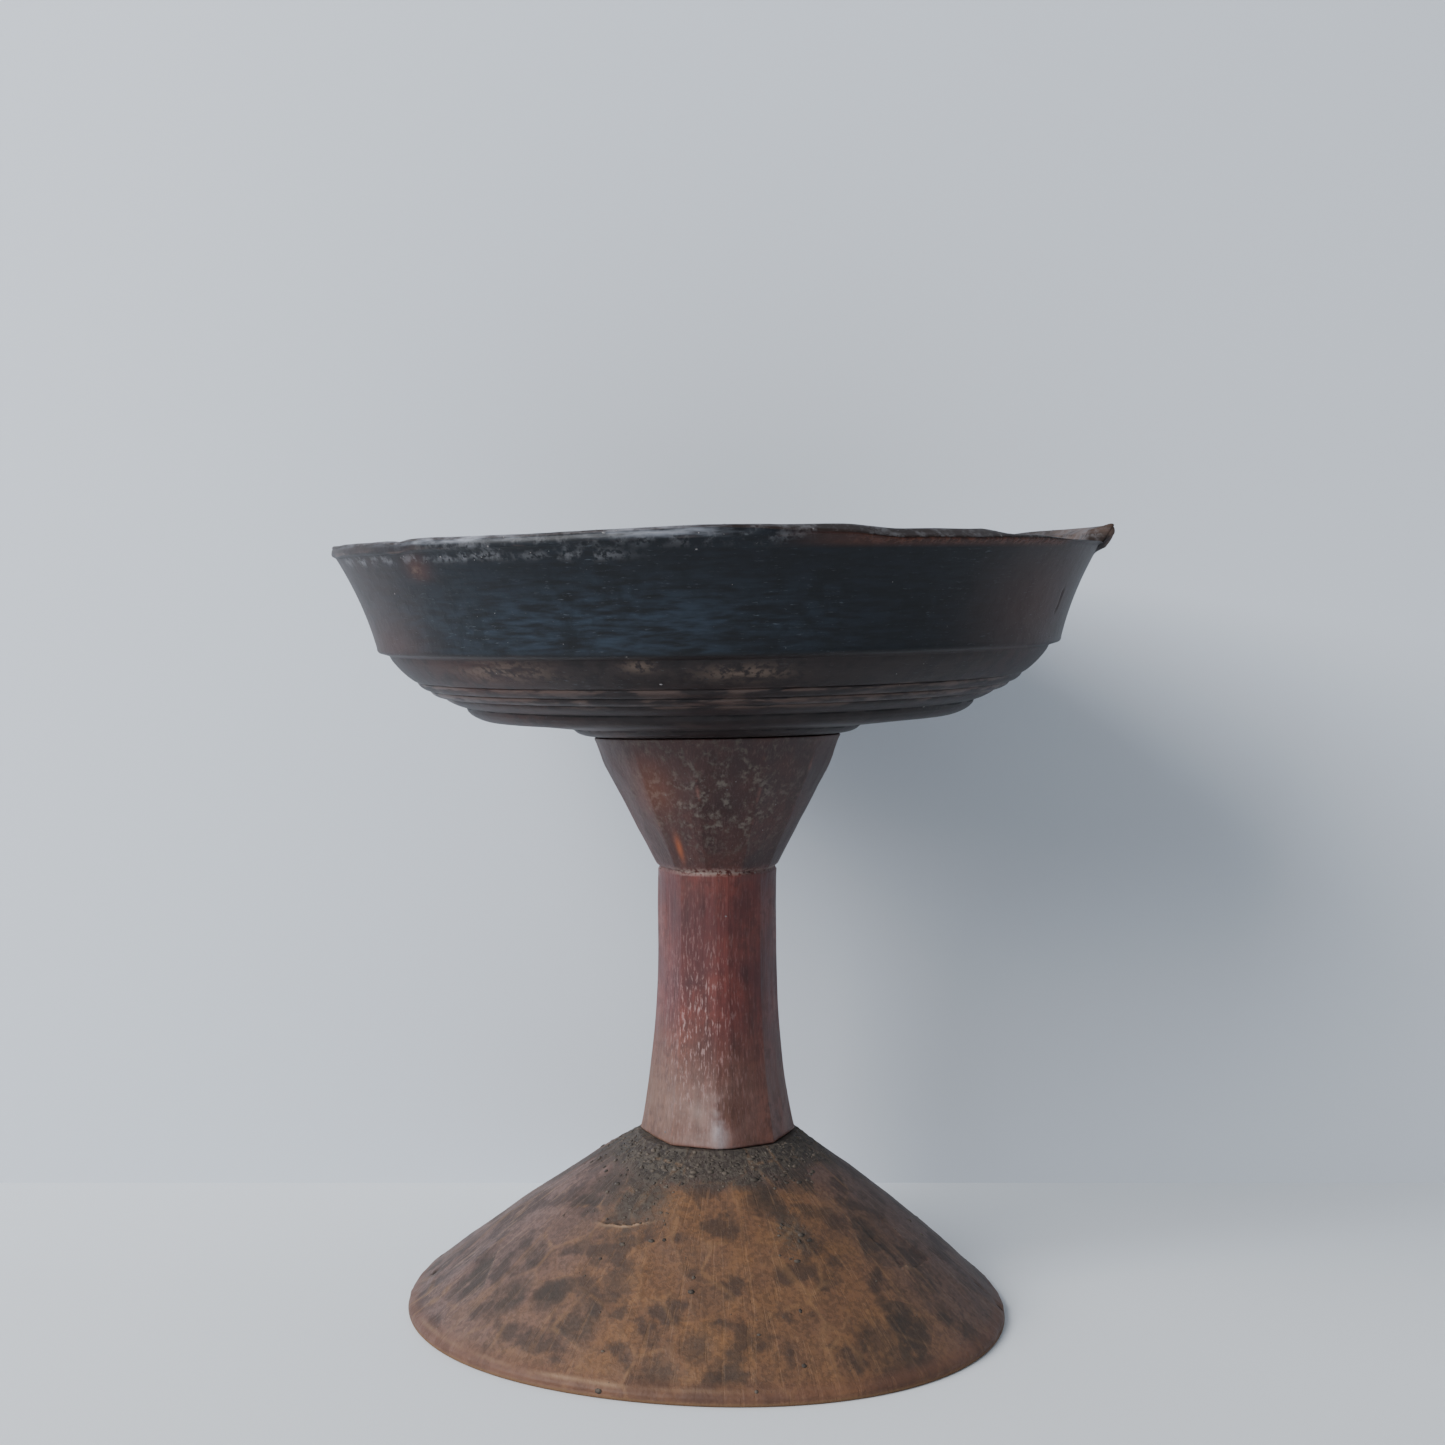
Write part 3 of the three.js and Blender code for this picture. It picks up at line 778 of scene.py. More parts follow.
# edges between the flats cut on the shaft and on the capital, in degrees; -90 faces the front
SHAFT_EDGES = (-181, -126, -90, -79, -44, 0, 43, 90, 134, 179)
CAPITAL_EDGES = (-172, -133, -101, -66, -34, -2, 31, 64, 97, 130, 161, 188)
FLAT_FILL = 1.006               # the flats take a little off, and this gives it back
KNIFE_PROUD = 0.6               # millimetres that the capital may stand out of its circle


def flat_cut(angle, edges):
    """How far, as a share of the radius, the surface lies in because of the flats."""
    share = np.ones(len(angle))
    for first, second in zip(edges, edges[1:]):
        half = (second - first) / 2
        off = np.radians(np.clip(angle_apart(angle, first + half), -60, 60))
        share = np.minimum(share, math.cos(math.radians(half)) / np.cos(off))
    return share


def shape_stem(piece):
    points = read_points(piece)
    angle, radius, height = turned_back(points)
    seat = SEAT_Z - GAP
    skin = (height > STEM_BASE - 0.1) & (height < seat + 0.1) & (radius > 28)
    shaft = 1 - (0.62 + 0.2 * ramp(height, 160, 100)) * (1 - flat_cut(angle, SHAFT_EDGES))
    capital = 1 - 0.62 * (1 - flat_cut(angle + 3 * noise(points, 40, 13), CAPITAL_EDGES))
    up = ramp(height, CREASE_Z - 8, CREASE_Z + 6)
    share = shaft * (1 - up) + capital * up
    share = 1 - (1 - share) * (1 - 0.75 * ramp(height, seat - 18, seat))
    knife = 0.25 * noise(points * [1, 1, 0.35], 10, 11) + 0.12 * noise(points * [1, 1, 0.2], 4, 12)
    carved = np.minimum(radius * share * FLAT_FILL + knife, CAPITAL_RADIUS + KNIFE_PROUD)
    radius = np.where(skin, carved, radius)
    turn = np.radians(angle)
    slope = np.cos(turn) * math.tan(DISH_TILT) - np.sin(turn) * math.tan(SEAT_SLANT)
    lift = np.where(height > seat - 3, 1, ramp(height, BELLY_Z - 20, seat - 3)) * radius * slope
    tenon = height > seat + 0.2
    lift = np.where(tenon, radius * np.cos(turn) * math.tan(DISH_TILT), lift)
    lean = np.where(tenon, -(height - SEAT_Z) * math.tan(DISH_TILT), 0)
    x = radius * np.cos(turn) + lean + STEM_X
    write_points(piece, np.stack([x, radius * np.sin(turn), height + lift], 1))
    up = ramp(height, CREASE_Z, CREASE_Z + 30)
    write_place(piece, "cut_place", points * [1, 1, 0.32])
    left = ramp(angle_apart(angle, -178), -60, 10) * (1 - ramp(angle_apart(angle, -178), 30, 80))
    low = 1 - ramp(height, STEM_BASE + 20, STEM_BASE + 75)
    gloss = patch(angle, height, (-97, STEM_BASE + 17), (30, 20)) * skin
    # a raised glossy drip low at the front; its near-white colour is a painted highlight
    drip = patch(angle, height, (-88, STEM_BASE + 10), (5, 10)) * skin
    scuffed = hump(angle_apart(angle, -112), 0, 60) * hump(height, STEM_BASE + 55, 70) + 0.15
    residue = hump(height, CREASE_Z + 0.4, 2.6)
    dust = patch(angle, height, (-88, CREASE_Z + 34), (46, 22))
    dust += 0.4 * ramp(height, CREASE_Z, CREASE_Z + 50)
    orange = patch(angle, height, (-121, CREASE_Z + 13), (2.6, 6))
    orange += 0.3 * patch(angle, height, (-128, CREASE_Z + 44), (14, 14))
    crust = 0.8 * residue + 0.1 * patch(angle, height, (-90, CREASE_Z + 34), (48, 22)) + 0.004
    cut_depth = skin * (0.5 + 0.5 * up) * ramp(height, STEM_BASE, STEM_BASE + 4)
    write_fields(
        piece, scuffed=scuffed, orange=orange,
        cut_depth=cut_depth * (1 - ramp(height, seat - 4, seat)),
        ochre=np.clip(low * (0.5 + 0.5 * left), 0, 1),
        worn=np.clip(gloss, 0, 1),
        drip=np.clip(drip, 0, 1),
        capital=ramp(height, CREASE_Z - 2, CREASE_Z + 5),
        residue=residue * (0.35 + 0.65 * hump(angle_apart(angle, -95), 0, 60)),
        dust=np.clip(dust, 0, 1) * ramp(height, CREASE_Z, CREASE_Z + 8),
        crust=np.clip(crust, 0, 1) * skin * (height < seat - 2))


# ---- foot -----------------------------------------------------------------------------------

def foot_marks(angle, radius, points):
    """Cuts and hurts in the foot's slope, in millimetres along its height, with the mask of a
    painted highlight along the ledge and the flake's mask.
    """
    edge = np.interp(angle, [-135, -120, -109], [84, 82, 76]) + 0.8 * noise(points, 6, 27)
    ledge = ramp(radius, edge - 12, edge - 1) * (radius < edge) * hump(angle, -122, 15)
    # a painted highlight along the ledge's lower lip
    lit = hump(radius, edge + 0.6, 1.7) * hump(angle, -122, 14.5)
    side = angle + 1.4 * noise(points, 7, 28)
    away = radius + 3.0 * noise(points, 9, 29)
    flake = ramp(side, -37, -36) * (1 - ramp(side, -25.5, -24)) * (1 - ramp(away, 112, 113))
    flake = flake * ramp(away, 84, 92)
    hole = patch(angle, radius, (-178.2, 138.7), (0.8, 1.9))
    chip = hump(angle_apart(angle, -14), 0, 1.6) * ramp(radius, 144, 149)
    split = hump(angle, -13.5 + 0.6 * np.sin(radius / 9), 0.5) * ramp(radius, 116, 126)
    split += hump(angle, 57 + 0.8 * np.sin(radius / 7), 0.5) * ramp(radius, 96, 108)
    return 2.2 * ledge + 1.1 * flake + 2.6 * hole + 2.4 * chip + 1.0 * split, lit, flake


def shape_foot(piece):
    points = read_points(piece)
    angle, radius, height = turned_back(points)
    turn = np.radians(angle)
    slope = (FOOT_TOP - FOOT_EDGE) / (FOOT_RADIUS - FOOT_TOP_RADIUS)
    above = height - (FOOT_TOP - (radius - FOOT_TOP_RADIUS) * slope)
    skin = (above > -3) & (radius > FOOT_TOP_RADIUS)
    marks, lit, flake = foot_marks(angle, radius, points)
    wave = 0.6 * noise(points, 34, 21) + 0.3 * noise(points, 15, 22) - 0.6
    height = height + np.where(skin, (wave - marks) * ramp(height, 2, 8), 0)
    share = np.clip((radius - FOOT_TOP_RADIUS) / (FOOT_RADIUS - FOOT_TOP_RADIUS), 0, 1)
    sway = FOOT_OVAL * np.sin(2 * turn) + FOOT_LOBE * np.sin(3 * turn + FOOT_LOBE_TURN)
    edge = np.where(skin, 0.35 * noise(points, 12, 23) + 0.2 * noise(points, 4, 24) - 0.4, 0)
    wide = radius + share * (edge - sway)
    x = wide * np.cos(turn) + share * FOOT_OFFSET[0] + STEM_X
    y = wide * np.sin(turn) + share * FOOT_OFFSET[1]
    write_points(piece, np.stack([x, y, np.clip(height, 0, FOOT_TOP)], 1))

    left = hump(angle_apart(angle, -178), 0, 52)
    right = hump(angle_apart(angle, 0), 0, 50)
    squeeze = 1 - 0.62 * left - 0.5 * right
    ring = 95 + (radius - 95) * squeeze
    write_place(piece, "cut_place", around(angle, ring, 0.4 * height))
    write_place(piece, "ray_place", around(angle, 100, 0.10 * radius))
    front = hump(angle_apart(angle, -82), 0, 84) + 0.8 * hump(angle_apart(angle, 100), 0, 70)
    middle = patch(angle, radius, (-88, 92), (26, 24))
    top = patch(angle, radius, (-122, 70), (13, 13)) + patch(angle, radius, (-63, 84), (5, 8))
    crusty = 1 - ramp(radius + 6 * noise(points, 14, 25), 50, 64) + 0.8 * top
    above_hollow = height > FOOT_TOP - 45
    worn = hump(radius, 147.8, 1.5) * ramp(height, FOOT_EDGE - 1, FOOT_EDGE)
    worn = worn * hump(angle_apart(angle, -118), 0, 70) * ramp(noise(points, 16, 30), -0.6, 0.9)
    crust = 0.9 * (1 - ramp(radius, 50, 66)) + 0.5 * top + 0.012
    cut_depth = skin * ramp(radius, 46, 56) * (0.75 + 0.5 * left)
    write_fields(
        piece, right_side=right,
        cut_depth=cut_depth * ramp(height, FOOT_EDGE + 0.5, FOOT_EDGE + 6),
        ochre=np.clip(1.4 * front * ramp(radius, 52, 70), 0, 1),
        stain=np.clip(1 - 0.75 * middle, 0, 1) * skin,
        sides=np.clip(left + right, 0, 1) * skin,
        collar=np.clip(crusty, 0, 1) * above_hollow,
        rim=skin * ramp(radius, 143, 149),
        flake=flake * (0.35 + 0.65 * hump(flake, 0.5, 0.5)),
        # the ledge's painted highlight together with the worn rim edge
        hurt=np.clip(lit + 0.8 * worn, 0, 1) * skin,
        crust=skin * np.clip(crust, 0, 1),
        under=(1.0 - skin) * (height < FOOT_TOP - 0.6))


# ---- shader node groups: effects that the woods share ---------------------------------------

def new_effect(name, inputs, outputs):
    tree = bpy.data.node_groups.new(name, "ShaderNodeTree")
    tree.interface.new_socket("Place", in_out="INPUT", socket_type="NodeSocketVector")
    for label, value in inputs:
        socket = tree.interface.new_socket(label, in_out="INPUT", socket_type="NodeSocketFloat")
        socket.default_value = value
    for label in outputs:
        tree.interface.new_socket(label, in_out="OUTPUT", socket_type="NodeSocketFloat")
    return tree, tree.nodes.new("NodeGroupInput").outputs, tree.nodes.new("NodeGroupOutput").inputs


def scaled_noise(tree, place, per_metre, seed, detail, roughness=0.55):
    texture = tree.nodes.new("ShaderNodeTexNoise")
    texture.noise_dimensions = "4D"
    texture.inputs["Detail"].default_value = detail
    texture.inputs["Roughness"].default_value = roughness
    wire(tree, place, texture.inputs["Vector"])
    wire(tree, per_metre, texture.inputs["Scale"])
    wire(tree, seed, texture.inputs["W"])
    return texture.outputs[0]


def cell_pattern(tree, place, per_metre, seed, feature="F1"):
    cells = tree.nodes.new("ShaderNodeTexVoronoi")
    cells.voronoi_dimensions = "4D"
    cells.feature = feature
    for label, given in (("Vector", place), ("Scale", per_metre), ("W", seed)):
        wire(tree, given, cells.inputs[label])
    return cells.outputs


def split(tree, color):
    pick = tree.nodes.new("ShaderNodeSeparateColor")
    wire(tree, color, pick.inputs[0])
    return pick.outputs


def between(tree, value, low, high):
    """0 below low, 1 above high, smooth between; low and high may be sockets."""
    node = tree.nodes.new("ShaderNodeMapRange")
    node.interpolation_type = "SMOOTHSTEP"
    for label, given in (("Value", value), ("From Min", low), ("From Max", high)):
        wire(tree, given, node.inputs[label])
    return node.outputs[0]


def cut_off(tree, value, given, start, reach):
    """Where the noise is above a level that falls as Share grows."""
    middle = calc(tree, "SUBTRACT", start, calc(tree, "MULTIPLY", given["Share"], reach))
    low = calc(tree, "SUBTRACT", middle, given["Softness"])
    high = calc(tree, "ADD", middle, given["Softness"])
    return between(tree, value, low, high)


def blotches_effect():
    """Cloudy patches; Share says how much of the surface they take."""
    tree, given, out = new_effect("Blotches", [
        ("Per metre", 40.0), ("Share", 0.5), ("Softness", 0.1), ("Seed", 0.0)], ["Amount"])
    value = scaled_noise(tree, given["Place"], given["Per metre"], given["Seed"], 5)
    wire(tree, cut_off(tree, value, given, 0.72, 0.44), out["Amount"])
    return tree


def streaks_effect():
    """Fibres and scratches: a noise drawn out along one way."""
    tree, given, out = new_effect("Streaks", [
        ("Along X Y", 1.0), ("Along Z", 0.05), ("Per metre", 300.0), ("Share", 0.5),
        ("Softness", 0.12), ("Seed", 0.0)], ["Amount"])
    drawn = tree.nodes.new("ShaderNodeCombineXYZ")
    wire(tree, given["Along X Y"], drawn.inputs[0])
    wire(tree, given["Along X Y"], drawn.inputs[1])
    wire(tree, given["Along Z"], drawn.inputs[2])
    stretch = tree.nodes.new("ShaderNodeVectorMath")
    stretch.operation = "MULTIPLY"
    wire(tree, given["Place"], stretch.inputs[0])
    wire(tree, drawn.outputs[0], stretch.inputs[1])
    value = scaled_noise(tree, stretch.outputs[0], given["Per metre"], given["Seed"], 4, 0.65)
    wire(tree, cut_off(tree, value, given, 0.70, 0.40), out["Amount"])
    return tree


def specks_effect():
    """Scattered dots of many sizes, each in a cell of its own."""
    tree, given, out = new_effect("Specks", [
        ("Per metre", 500.0), ("Size", 0.3), ("Share", 0.3), ("Seed", 0.0)], ["Amount"])
    cells = cell_pattern(tree, given["Place"], given["Per metre"], given["Seed"])
    pick = split(tree, cells["Color"])
    reach = calc(tree, "MULTIPLY", given["Size"], pick[1])
    dot = calc(tree, "SUBTRACT", 1.0, between(tree, cells["Distance"], 0.0, reach))
    kept = calc(tree, "LESS_THAN", pick[0], given["Share"])
    wire(tree, calc(tree, "MULTIPLY", dot, kept), out["Amount"])
    return tree


def facets_effect():
    """Each adze cut's own tone, its hollow middle, and the lines where two cuts meet."""
    tree, given, out = new_effect("Facets", [
        ("Cuts per metre", 70.0), ("Line", 0.06), ("Seed", 0.0)], ["Tone", "Hollow", "Ridge"])
    where = given["Place"], given["Cuts per metre"], given["Seed"]
    cells = cell_pattern(tree, *where)
    wire(tree, split(tree, cells["Color"])[2], out["Tone"])
    edge = between(tree, cells["Distance"], 0.40, 0.78)
    wire(tree, calc(tree, "SUBTRACT", 1.0, edge), out["Hollow"])
    edges = cell_pattern(tree, *where, feature="DISTANCE_TO_EDGE")
    near = between(tree, edges["Distance"], 0.0, given["Line"])
    wire(tree, calc(tree, "SUBTRACT", 1.0, near), out["Ridge"])
    return tree


def wear_effect():
    """From how far the surface stands proud: raised edges lighter, as rubbed wear and painted
    highlight, and hollows darker.
    """
    tree, given, out = new_effect("Wear", [
        ("Relief", 0.0), ("Reach", 0.12), ("Seed", 0.0)], ["Worn", "Dirt"])
    broken = scaled_noise(tree, given["Place"], 260.0, given["Seed"], 3)
    patchy = between(tree, broken, 0.32, 0.62)
    level = calc(tree, "MULTIPLY", calc(tree, "DIVIDE", given["Relief"], given["Reach"]), patchy)
    wire(tree, between(tree, level, 0.45, 1.3), out["Worn"])
    wire(tree, between(tree, calc(tree, "MULTIPLY", level, -1.0), 0.25, 1.1), out["Dirt"])
    return tree


class Finish:
    """One wood's material: coats of colour and gloss and small relief, laid one over another."""

    def __init__(self, name, color, roughness):
        self.material = bpy.data.materials.new(name)
        self.material.use_nodes = True
        self.tree = self.material.node_tree
        self.shader = self.tree.nodes["Principled BSDF"]
        self.place = self.tree.nodes.new("ShaderNodeTexCoord").outputs["Object"]
        self.color = color
        self.rough = roughness
        self.height = 0.0

    def field(self, name, output="Fac"):
        node = self.tree.nodes.new("ShaderNodeAttribute")
        node.attribute_name = name
        return node.outputs[output]

    def effect(self, tree, place=None, **values):
        node = self.tree.nodes.new("ShaderNodeGroup")
        node.node_tree = tree
        wire(self.tree, place or self.place, node.inputs["Place"])
        for label, value in values.items():
            wire(self.tree, value, node.inputs[label.replace("_", " ")])
        return node.outputs

    def amount(self, tree, place=None, **values):
        return self.effect(tree, place, **values)["Amount"]

    def times(self, *parts):
        total = parts[0]
        for part in parts[1:]:
            total = calc(self.tree, "MULTIPLY", total, part)
        return calc(self.tree, "MINIMUM", total, 1.0)

    def coat(self, color, amount, roughness=None, height=0.0):
        mix = self.tree.nodes.new("ShaderNodeMix")
        mix.data_type = "RGBA"
        wire(self.tree, amount, mix.inputs[0])
        wire(self.tree, self.color, mix.inputs[6])
        wire(self.tree, color, mix.inputs[7])
        self.color = mix.outputs[2]
        if roughness is not None:
            change = calc(self.tree, "SUBTRACT", roughness, self.rough)
            self.rough = calc(self.tree, "ADD", self.rough,
                              calc(self.tree, "MULTIPLY", change, amount))
        if height:
            self.raise_by(amount, height)

    def coats(self, *rows):
        """Each row: a colour, what limits the coat (fields by name), its gloss, its height."""
        for color, limits, *rest in rows:
            parts = [self.field(part) if isinstance(part, str) else part for part in limits]
            self.coat(paint(*color), self.times(*parts), *rest)

    def raise_by(self, amount, height):
        step = calc(self.tree, "MULTIPLY", amount, height)
        self.height = calc(self.tree, "ADD", self.height, step)

    def done(self, shine=0.4, coat=0.0, coat_roughness=0.3):
        bump = self.tree.nodes.new("ShaderNodeBump")
        bump.inputs["Strength"].default_value = 1.0
        bump.inputs["Distance"].default_value = MM
        wire(self.tree, self.height, bump.inputs["Height"])
        wire(self.tree, bump.outputs[0], self.shader.inputs["Normal"])
        wire(self.tree, self.color, self.shader.inputs["Base Color"])
        wire(self.tree, self.rough, self.shader.inputs["Roughness"])
        self.shader.inputs["Specular IOR Level"].default_value = shine
        self.shader.inputs["Coat Weight"].default_value = coat
        self.shader.inputs["Coat Roughness"].default_value = coat_roughness
        return self.material


# ---- the woods ------------------------------------------------------------------------------

def dish_finish():
    """Blackened, oiled and handled wood: blue-black, dusty, scratched, with painted reflections
    (brown at both sides, bluish on the wall) and a painted highlight on the lip.
    """
    wood = Finish("dish wood", paint(17, 19, 23), 0.42)
    around = wood.field("ring_place", "Vector")
    clouds = wood.amount(BLOTCHES, Per_metre=26, Share=0.5, Softness=0.16, Seed=2)
    mottle = wood.amount(BLOTCHES, Per_metre=130, Share=0.45, Softness=0.1, Seed=3)
    ragged = wood.amount(BLOTCHES, around, Per_metre=260, Share=0.62, Softness=0.1, Seed=7)
    beads = wood.amount(BLOTCHES, Per_metre=330, Share=0.55, Softness=0.08, Seed=9)
    brushed = wood.amount(BLOTCHES, around, Per_metre=420, Share=0.5, Softness=0.16, Seed=4)
    scratch = wood.amount(STREAKS, around, Per_metre=1300, Share=0.14, Softness=0.04,
                          Along_Z=1.0, Seed=5)
    wear = wood.effect(WEAR, around, Relief=wood.field("relief"), Reach=0.5, Seed=1)
    dirty = calc(wood.tree, "MULTIPLY", wood.field("inside"), 0.88)
    handled = calc(wood.tree, "SUBTRACT", 1.0, dirty)
    crusty = wood.amount(BLOTCHES, Per_metre=420, Share=0.6, Softness=0.07, Seed=8)
    dots = wood.amount(SPECKS, Per_metre=640, Size=0.24, Share=0.16, Seed=6)
    wood.coats(
        ((38, 34, 34), ("bands", 0.85), 0.5),
        # painted brown reflection at the wall's sides
        ((54, 45, 43), ("warm", 0.7), 0.5),
        # painted bluish sheen of reflected sky
        ((44, 57, 70), ("bloom", brushed, 0.55), 0.42),
        ((12, 14, 17), (clouds, mottle, 0.6)),
        # russet wood, with a painted reddish reflection on the wall's right side
        ((68, 42, 36), ("russet", 0.7), 0.5),
        ((30, 26, 27), ("bands", mottle, 0.6)),
        ((44, 33, 29), ("inside", 0.75), 0.6),
        ((70, 52, 42), ("inside", scratch, 0.7), 0.6),
        ((26, 21, 20), ("inside", clouds, 0.6), 0.6),
        ((104, 88, 77), ("tan", ragged, beads, 0.7), 0.62),
        # raised edges lighter, as rubbed wear and painted highlight; hollows darker
        ((96, 78, 71), (wear["Worn"], handled, 0.5), 0.32),
        ((8, 8, 9), (wear["Dirt"], handled, 0.85), 0.75),
        ((84, 92, 100), (scratch, clouds, 0.4), 0.55),
        ((92, 58, 46), ("bead", 0.75), 0.45),
        ((36, 24, 22), ("bead", beads, 0.7), 0.5, -0.25),
        ((104, 84, 74), ("horn", ragged, 0.5), 0.55),
        ((128, 128, 132), ("pale", crusty, mottle, 0.75), 0.6, 0.12),
        # painted highlight along the lip
        ((168, 172, 182), ("gleam", brushed, 0.8), 0.16, 0.1),
        ((98, 96, 96), (dots, 0.5), 0.75, 0.03),
    )
    wood.raise_by(brushed, 0.035)
    wood.raise_by(scratch, -0.03)
    wood.raise_by(mottle, 0.05)
    return wood.done(0.2)


def stem_finish():
    """Dark red wood with its grain upright, rubbed pale and glossy low at the front, with a
    painted highlight on a drip there.
    """
    wood = Finish("stem wood", paint(86, 42, 41), 0.42)
    fine = wood.amount(STREAKS, Per_metre=900, Share=0.5, Softness=0.14, Along_Z=0.05, Seed=11)
    wide = wood.amount(STREAKS, Per_metre=110, Share=0.45, Softness=0.16, Along_Z=0.16, Seed=12)
    dashes = wood.amount(STREAKS, Per_metre=1000, Share=0.3, Softness=0.05, Along_Z=0.2, Seed=13)
    clouds = wood.amount(BLOTCHES, Per_metre=34, Share=0.5, Softness=0.12, Seed=14)
    mottle = wood.amount(BLOTCHES, Per_metre=190, Share=0.42, Softness=0.09, Seed=15)
    grit = wood.amount(BLOTCHES, Per_metre=380, Share=0.5, Softness=0.08, Seed=19)
    cuts = wood.field("cut_place", "Vector")
    tone = wood.effect(FACETS, cuts, Cuts_per_metre=STEM_CUTS, Seed=STEM_CUT_SEED)["Tone"]
    wear = wood.effect(WEAR, Relief=wood.field("relief"), Reach=0.34, Seed=16)
    crusty = wood.amount(BLOTCHES, Per_metre=520, Share=0.55, Softness=0.06, Seed=17)
    wood.coats(
        ((42, 21, 22), (wide, 0.62)),
        ((126, 62, 50), (clouds, 0.45)),
        ((112, 86, 70), ("ochre", 0.75), 0.5),
        ((47, 33, 31), ("capital", 0.8), 0.52),
        ((78, 46, 40), ("capital", clouds, 0.55)),
        ((34, 24, 23), ("capital", tone, 0.35)),
        ((40, 20, 20), (fine, 0.3)),
        ((34, 21, 21), (mottle, clouds, 0.4), 0.6),
        ((104, 97, 88), ("dust", grit, mottle, 0.7), 0.75, 0.12),
        ((150, 78, 40), ("orange", 0.7)),
        # raised edges lighter, as rubbed wear and painted highlight; hollows darker
        ((140, 94, 82), (wear["Worn"], 0.45), 0.38),
        ((20, 12, 12), (wear["Dirt"], 0.65), 0.75),
        ((168, 138, 134), ("scuffed", dashes, 0.5), 0.4),
        ((146, 126, 118), ("worn", clouds, 0.62), 0.24),
        # painted highlight on the raised glossy drip
        ((206, 206, 212), ("drip", clouds, 0.5), 0.14, 0.3),
        ((150, 132, 122), ("residue", crusty, 0.8), 0.85, 0.15),
    )
    wood.raise_by(fine, 0.06)
    wood.raise_by(mottle, -0.05)
    return wood.done(0.34, 0.05, 0.3)


def foot_finish():
    """Dry adzed wood: grey-brown, ochre at the front, stained dark in the middle of the cuts."""
    wood = Finish("foot wood", paint(104, 82, 76), 0.58)
    cuts = wood.field("cut_place", "Vector")
    facets = wood.effect(FACETS, cuts, Cuts_per_metre=FOOT_CUTS, Line=0.07, Seed=FOOT_CUT_SEED)
    stained = between(wood.tree, facets["Tone"], 0.2, 0.9)
    clouds = wood.amount(BLOTCHES, Per_metre=24, Share=0.5, Softness=0.12, Seed=22)
    stains = wood.amount(BLOTCHES, Per_metre=58, Share=0.40, Softness=0.06, Seed=23)
    mottle = wood.amount(BLOTCHES, Per_metre=150, Share=0.8, Softness=0.14, Seed=24)
    grit = wood.amount(BLOTCHES, Per_metre=420, Share=0.5, Softness=0.1, Seed=28)
    ray = wood.field("ray_place", "Vector")
    rays = wood.amount(BLOTCHES, ray, Per_metre=150, Share=0.5, Softness=0.08, Seed=25)
    scores = wood.amount(BLOTCHES, ray, Per_metre=420, Share=0.3, Softness=0.04, Seed=29)
    warmth = wood.amount(BLOTCHES, Per_metre=70, Share=0.45, Softness=0.12, Seed=30)
    wear = wood.effect(WEAR, Relief=wood.field("relief"), Reach=0.45, Seed=26)
    pores = wood.amount(SPECKS, Per_metre=620, Size=0.34, Share=0.35, Seed=27)
    wood.coats(
        ((108, 76, 52), ("ochre", 0.9)),
        ((124, 88, 56), ("ochre", warmth, 0.6)),
        ((74, 60, 56), (clouds, 0.25)),
        ((46, 40, 38), (stains, 0.66), 0.66),
        ((50, 45, 41), (facets["Hollow"], stained, mottle, "stain", 0.85), 0.66),
        ((58, 44, 40), (rays, "sides", 0.45)),
        ((138, 110, 92), (scores, "sides", 0.4), 0.5),
        ((150, 112, 76), (scores, "ochre", 0.14), 0.5),
        ((54, 46, 46), ("right_side", 0.35)),
        ((52, 42, 36), (grit, mottle, 0.4), 0.64),
        ((38, 32, 31), ("flake", 0.7), 0.64),
        ((96, 64, 50), ("rim", 0.55)),
        ((44, 41, 38), ("collar", 0.85), 0.75),
        ((98, 90, 80), ("collar", grit, 0.45), 0.8, 0.35),
        # painted highlight on the ledge, and the worn rim edge
        ((168, 138, 110), ("hurt", 0.6), 0.5),
        # raised edges lighter, as rubbed wear and painted highlight; hollows darker
        ((160, 130, 104), (wear["Worn"], 0.5), 0.5),
        ((30, 24, 20), (wear["Dirt"], 0.6), 0.8),
        ((138, 104, 72), (facets["Ridge"], clouds, rays, 0.32), 0.55),
        ((28, 23, 19), (pores, 0.5), 0.8, -0.12),
        ((104, 78, 56), ("under", 0.9), 0.85),
    )
    wood.raise_by(rays, 0.08)
    wood.raise_by(scores, -0.1)
    wood.raise_by(grit, 0.08)
    return wood.done(0.3)


def crust_finish(name, color, dark, roughness):
    wood = Finish(name, color, roughness)
    clouds = wood.amount(BLOTCHES, Per_metre=150, Share=0.5, Softness=0.2, Seed=31)
    wood.coat(dark, clouds)
    wood.raise_by(clouds, 0.02)
    return wood.done()


def wedge_finish():
    wood = Finish("wedge wood", paint(150, 116, 80), 0.8)
    grain = wood.amount(STREAKS, Per_metre=700, Share=0.5, Softness=0.15, Along_Z=0.06, Seed=33)
    wood.coat(paint(104, 76, 50), wood.times(grain, 0.7))
    wood.raise_by(grain, 0.05)
    return wood.done()


# ---- the pieces -----------------------------------------------------------------------------

def smooth_faces(piece):
    piece.data.polygons.foreach_set("use_smooth", [True] * len(piece.data.polygons))
    piece.data.update()


BELOW_ALL, ABOVE_ALL = -5, 500     # for a piece with no neighbour on that side
RELIEF_ROUNDS = 10                 # how far the smoothing that relief is measured from reaches


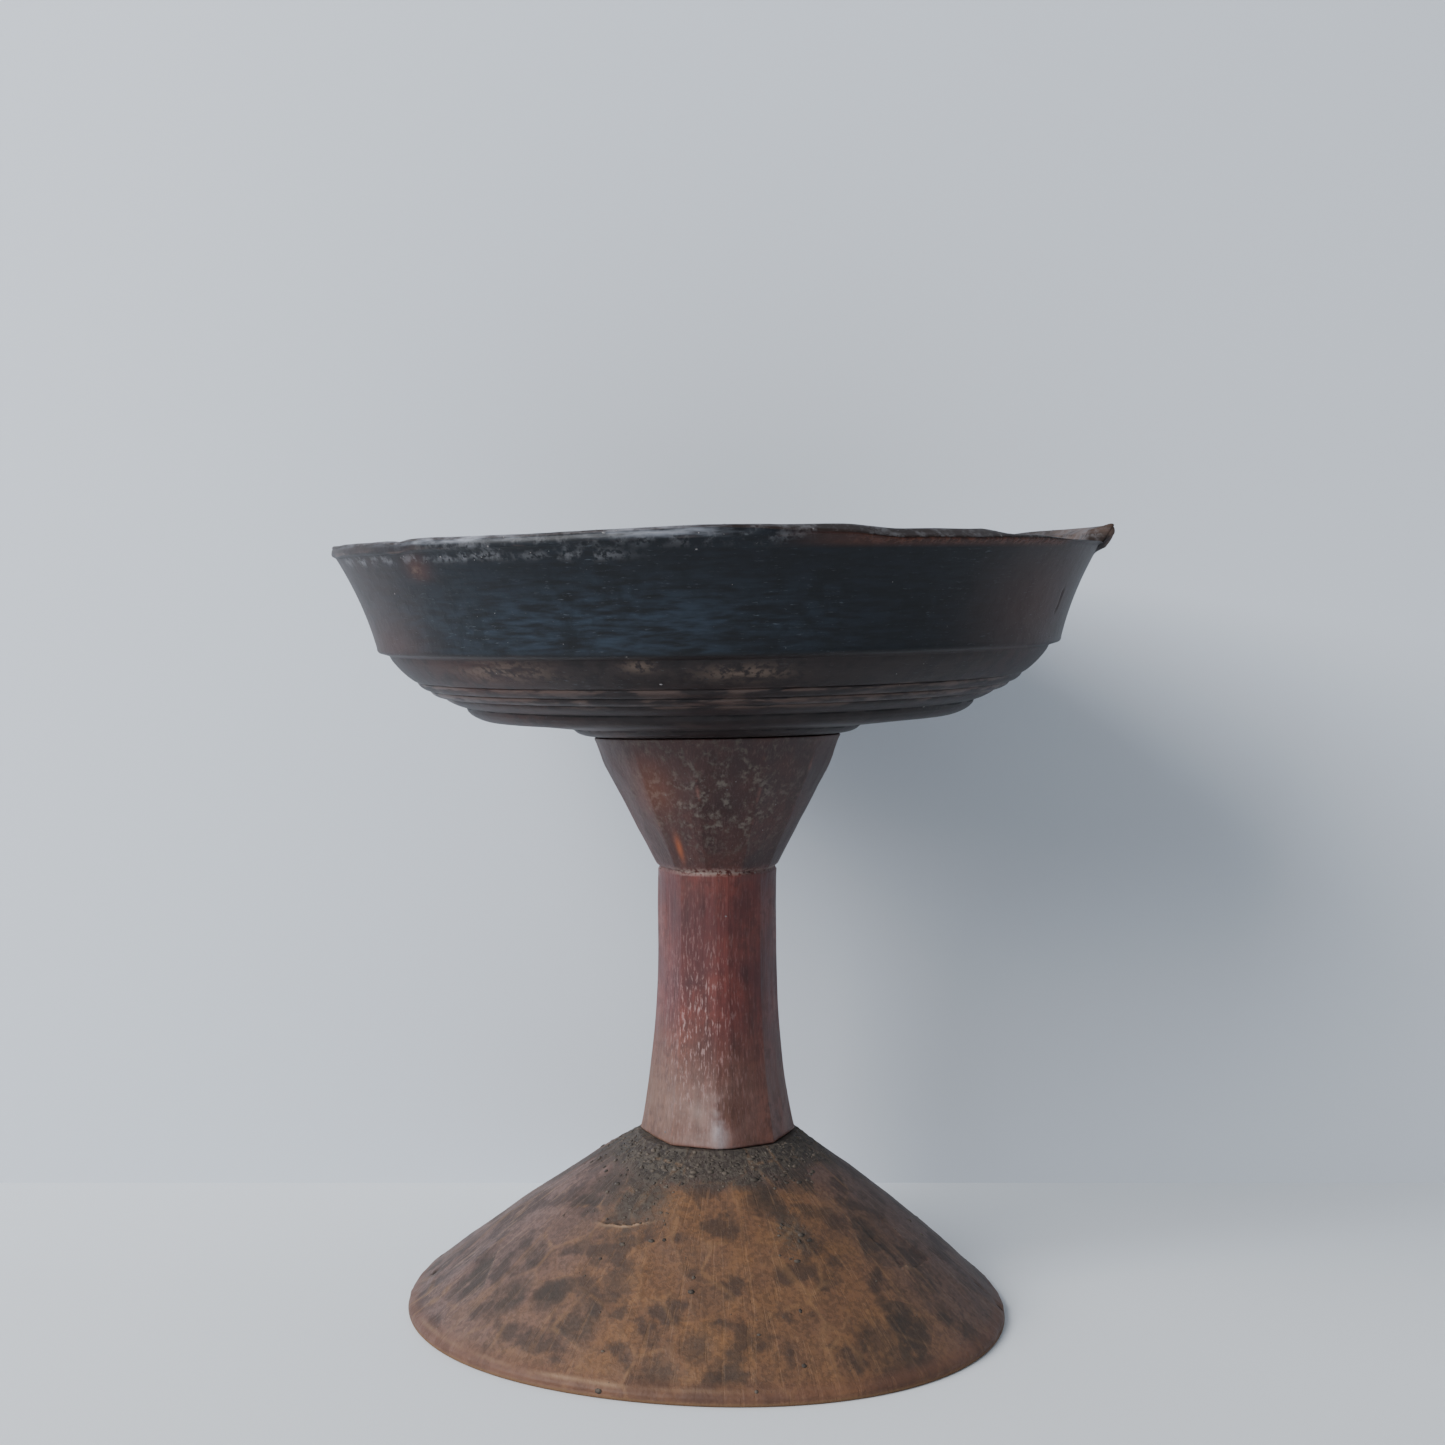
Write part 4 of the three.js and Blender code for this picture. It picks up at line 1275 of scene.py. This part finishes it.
def finish_piece(piece, node, low, high):
    """The relief field, which lightens edges and darkens hollows, is left out below `low` and
    above `high`, where the piece meets its neighbour.
    """
    height = read_points(piece)[:, 2]
    open_air = ramp(height, low, low + 2) * (1 - ramp(height, high - 2, high))
    write_fields(piece, relief=relief(piece, RELIEF_ROUNDS) * open_air)
    smooth_faces(piece)
    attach(piece, "root")
    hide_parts(node)


def finish_crust(piece):
    smooth_faces(piece)
    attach(piece, "root")


make_camera()
TURNING = turning_tree()
CUTS = cuts_tree()
CRUST = crust_tree()
BLOTCHES = blotches_effect()
STREAKS = streaks_effect()
SPECKS = specks_effect()
FACETS = facets_effect()
WEAR = wear_effect()

dish_wood = dish_finish()
stem_wood = stem_finish()
foot_wood = foot_finish()
wedge_wood = wedge_finish()
pale_crust = crust_finish("pale crust", paint(140, 138, 138), paint(66, 60, 58), 0.8)
dark_crust = crust_finish("dark crust", paint(92, 82, 72), paint(36, 31, 28), 0.8)

dish = turned("dish_wood_body", dish_outline(), DISH_STEPS, dish_wood)
shape_dish(dish)
finish_piece(dish, "dish", SEAT_Z + 1, ABOVE_ALL)

stem = turned("stem_blank", stem_outline(), STEM_STEPS, stem_wood)
shape_stem(stem)
stem = scooped(stem, STEM_CUTS, STEM_CUT_DEPTH, STEM_CUT_SEED, stem_wood, "stem_wood_body")
finish_piece(stem, "stem", STEM_BASE + 1, SEAT_Z - 3)

foot = turned("foot_blank", foot_outline(), FOOT_STEPS, foot_wood)
shape_foot(foot)
foot = scooped(foot, FOOT_CUTS, FOOT_CUT_DEPTH, FOOT_CUT_SEED, foot_wood, "foot_wood_body")
finish_piece(foot, "foot", BELOW_ALL, FOOT_TOP - 1)

# lumps per square metre; smallest and largest size in millimetres, and flatness; seed
for ground, name, lumps, sizes, seed, material, slot in (
    (dish, "dish_crust", 90000, (0.12, 0.6, 0.35), 3, pale_crust, "dish_wood"),
    (stem, "stem_crust", 110000, (0.12, 0.55, 0.35), 4, pale_crust, "stem_wood"),
    (foot, "foot_crust", 190000, (0.25, 1.5, 0.3), 5, dark_crust, "foot_wood"),
):
    finish_crust(crust_on(ground, name, lumps, sizes, seed, material))

for node in ("upper_wedge", "lower_wedge"):
    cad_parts[node].data.materials.clear()
    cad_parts[node].data.materials.append(wedge_wood)

make_stage()
make_lights()
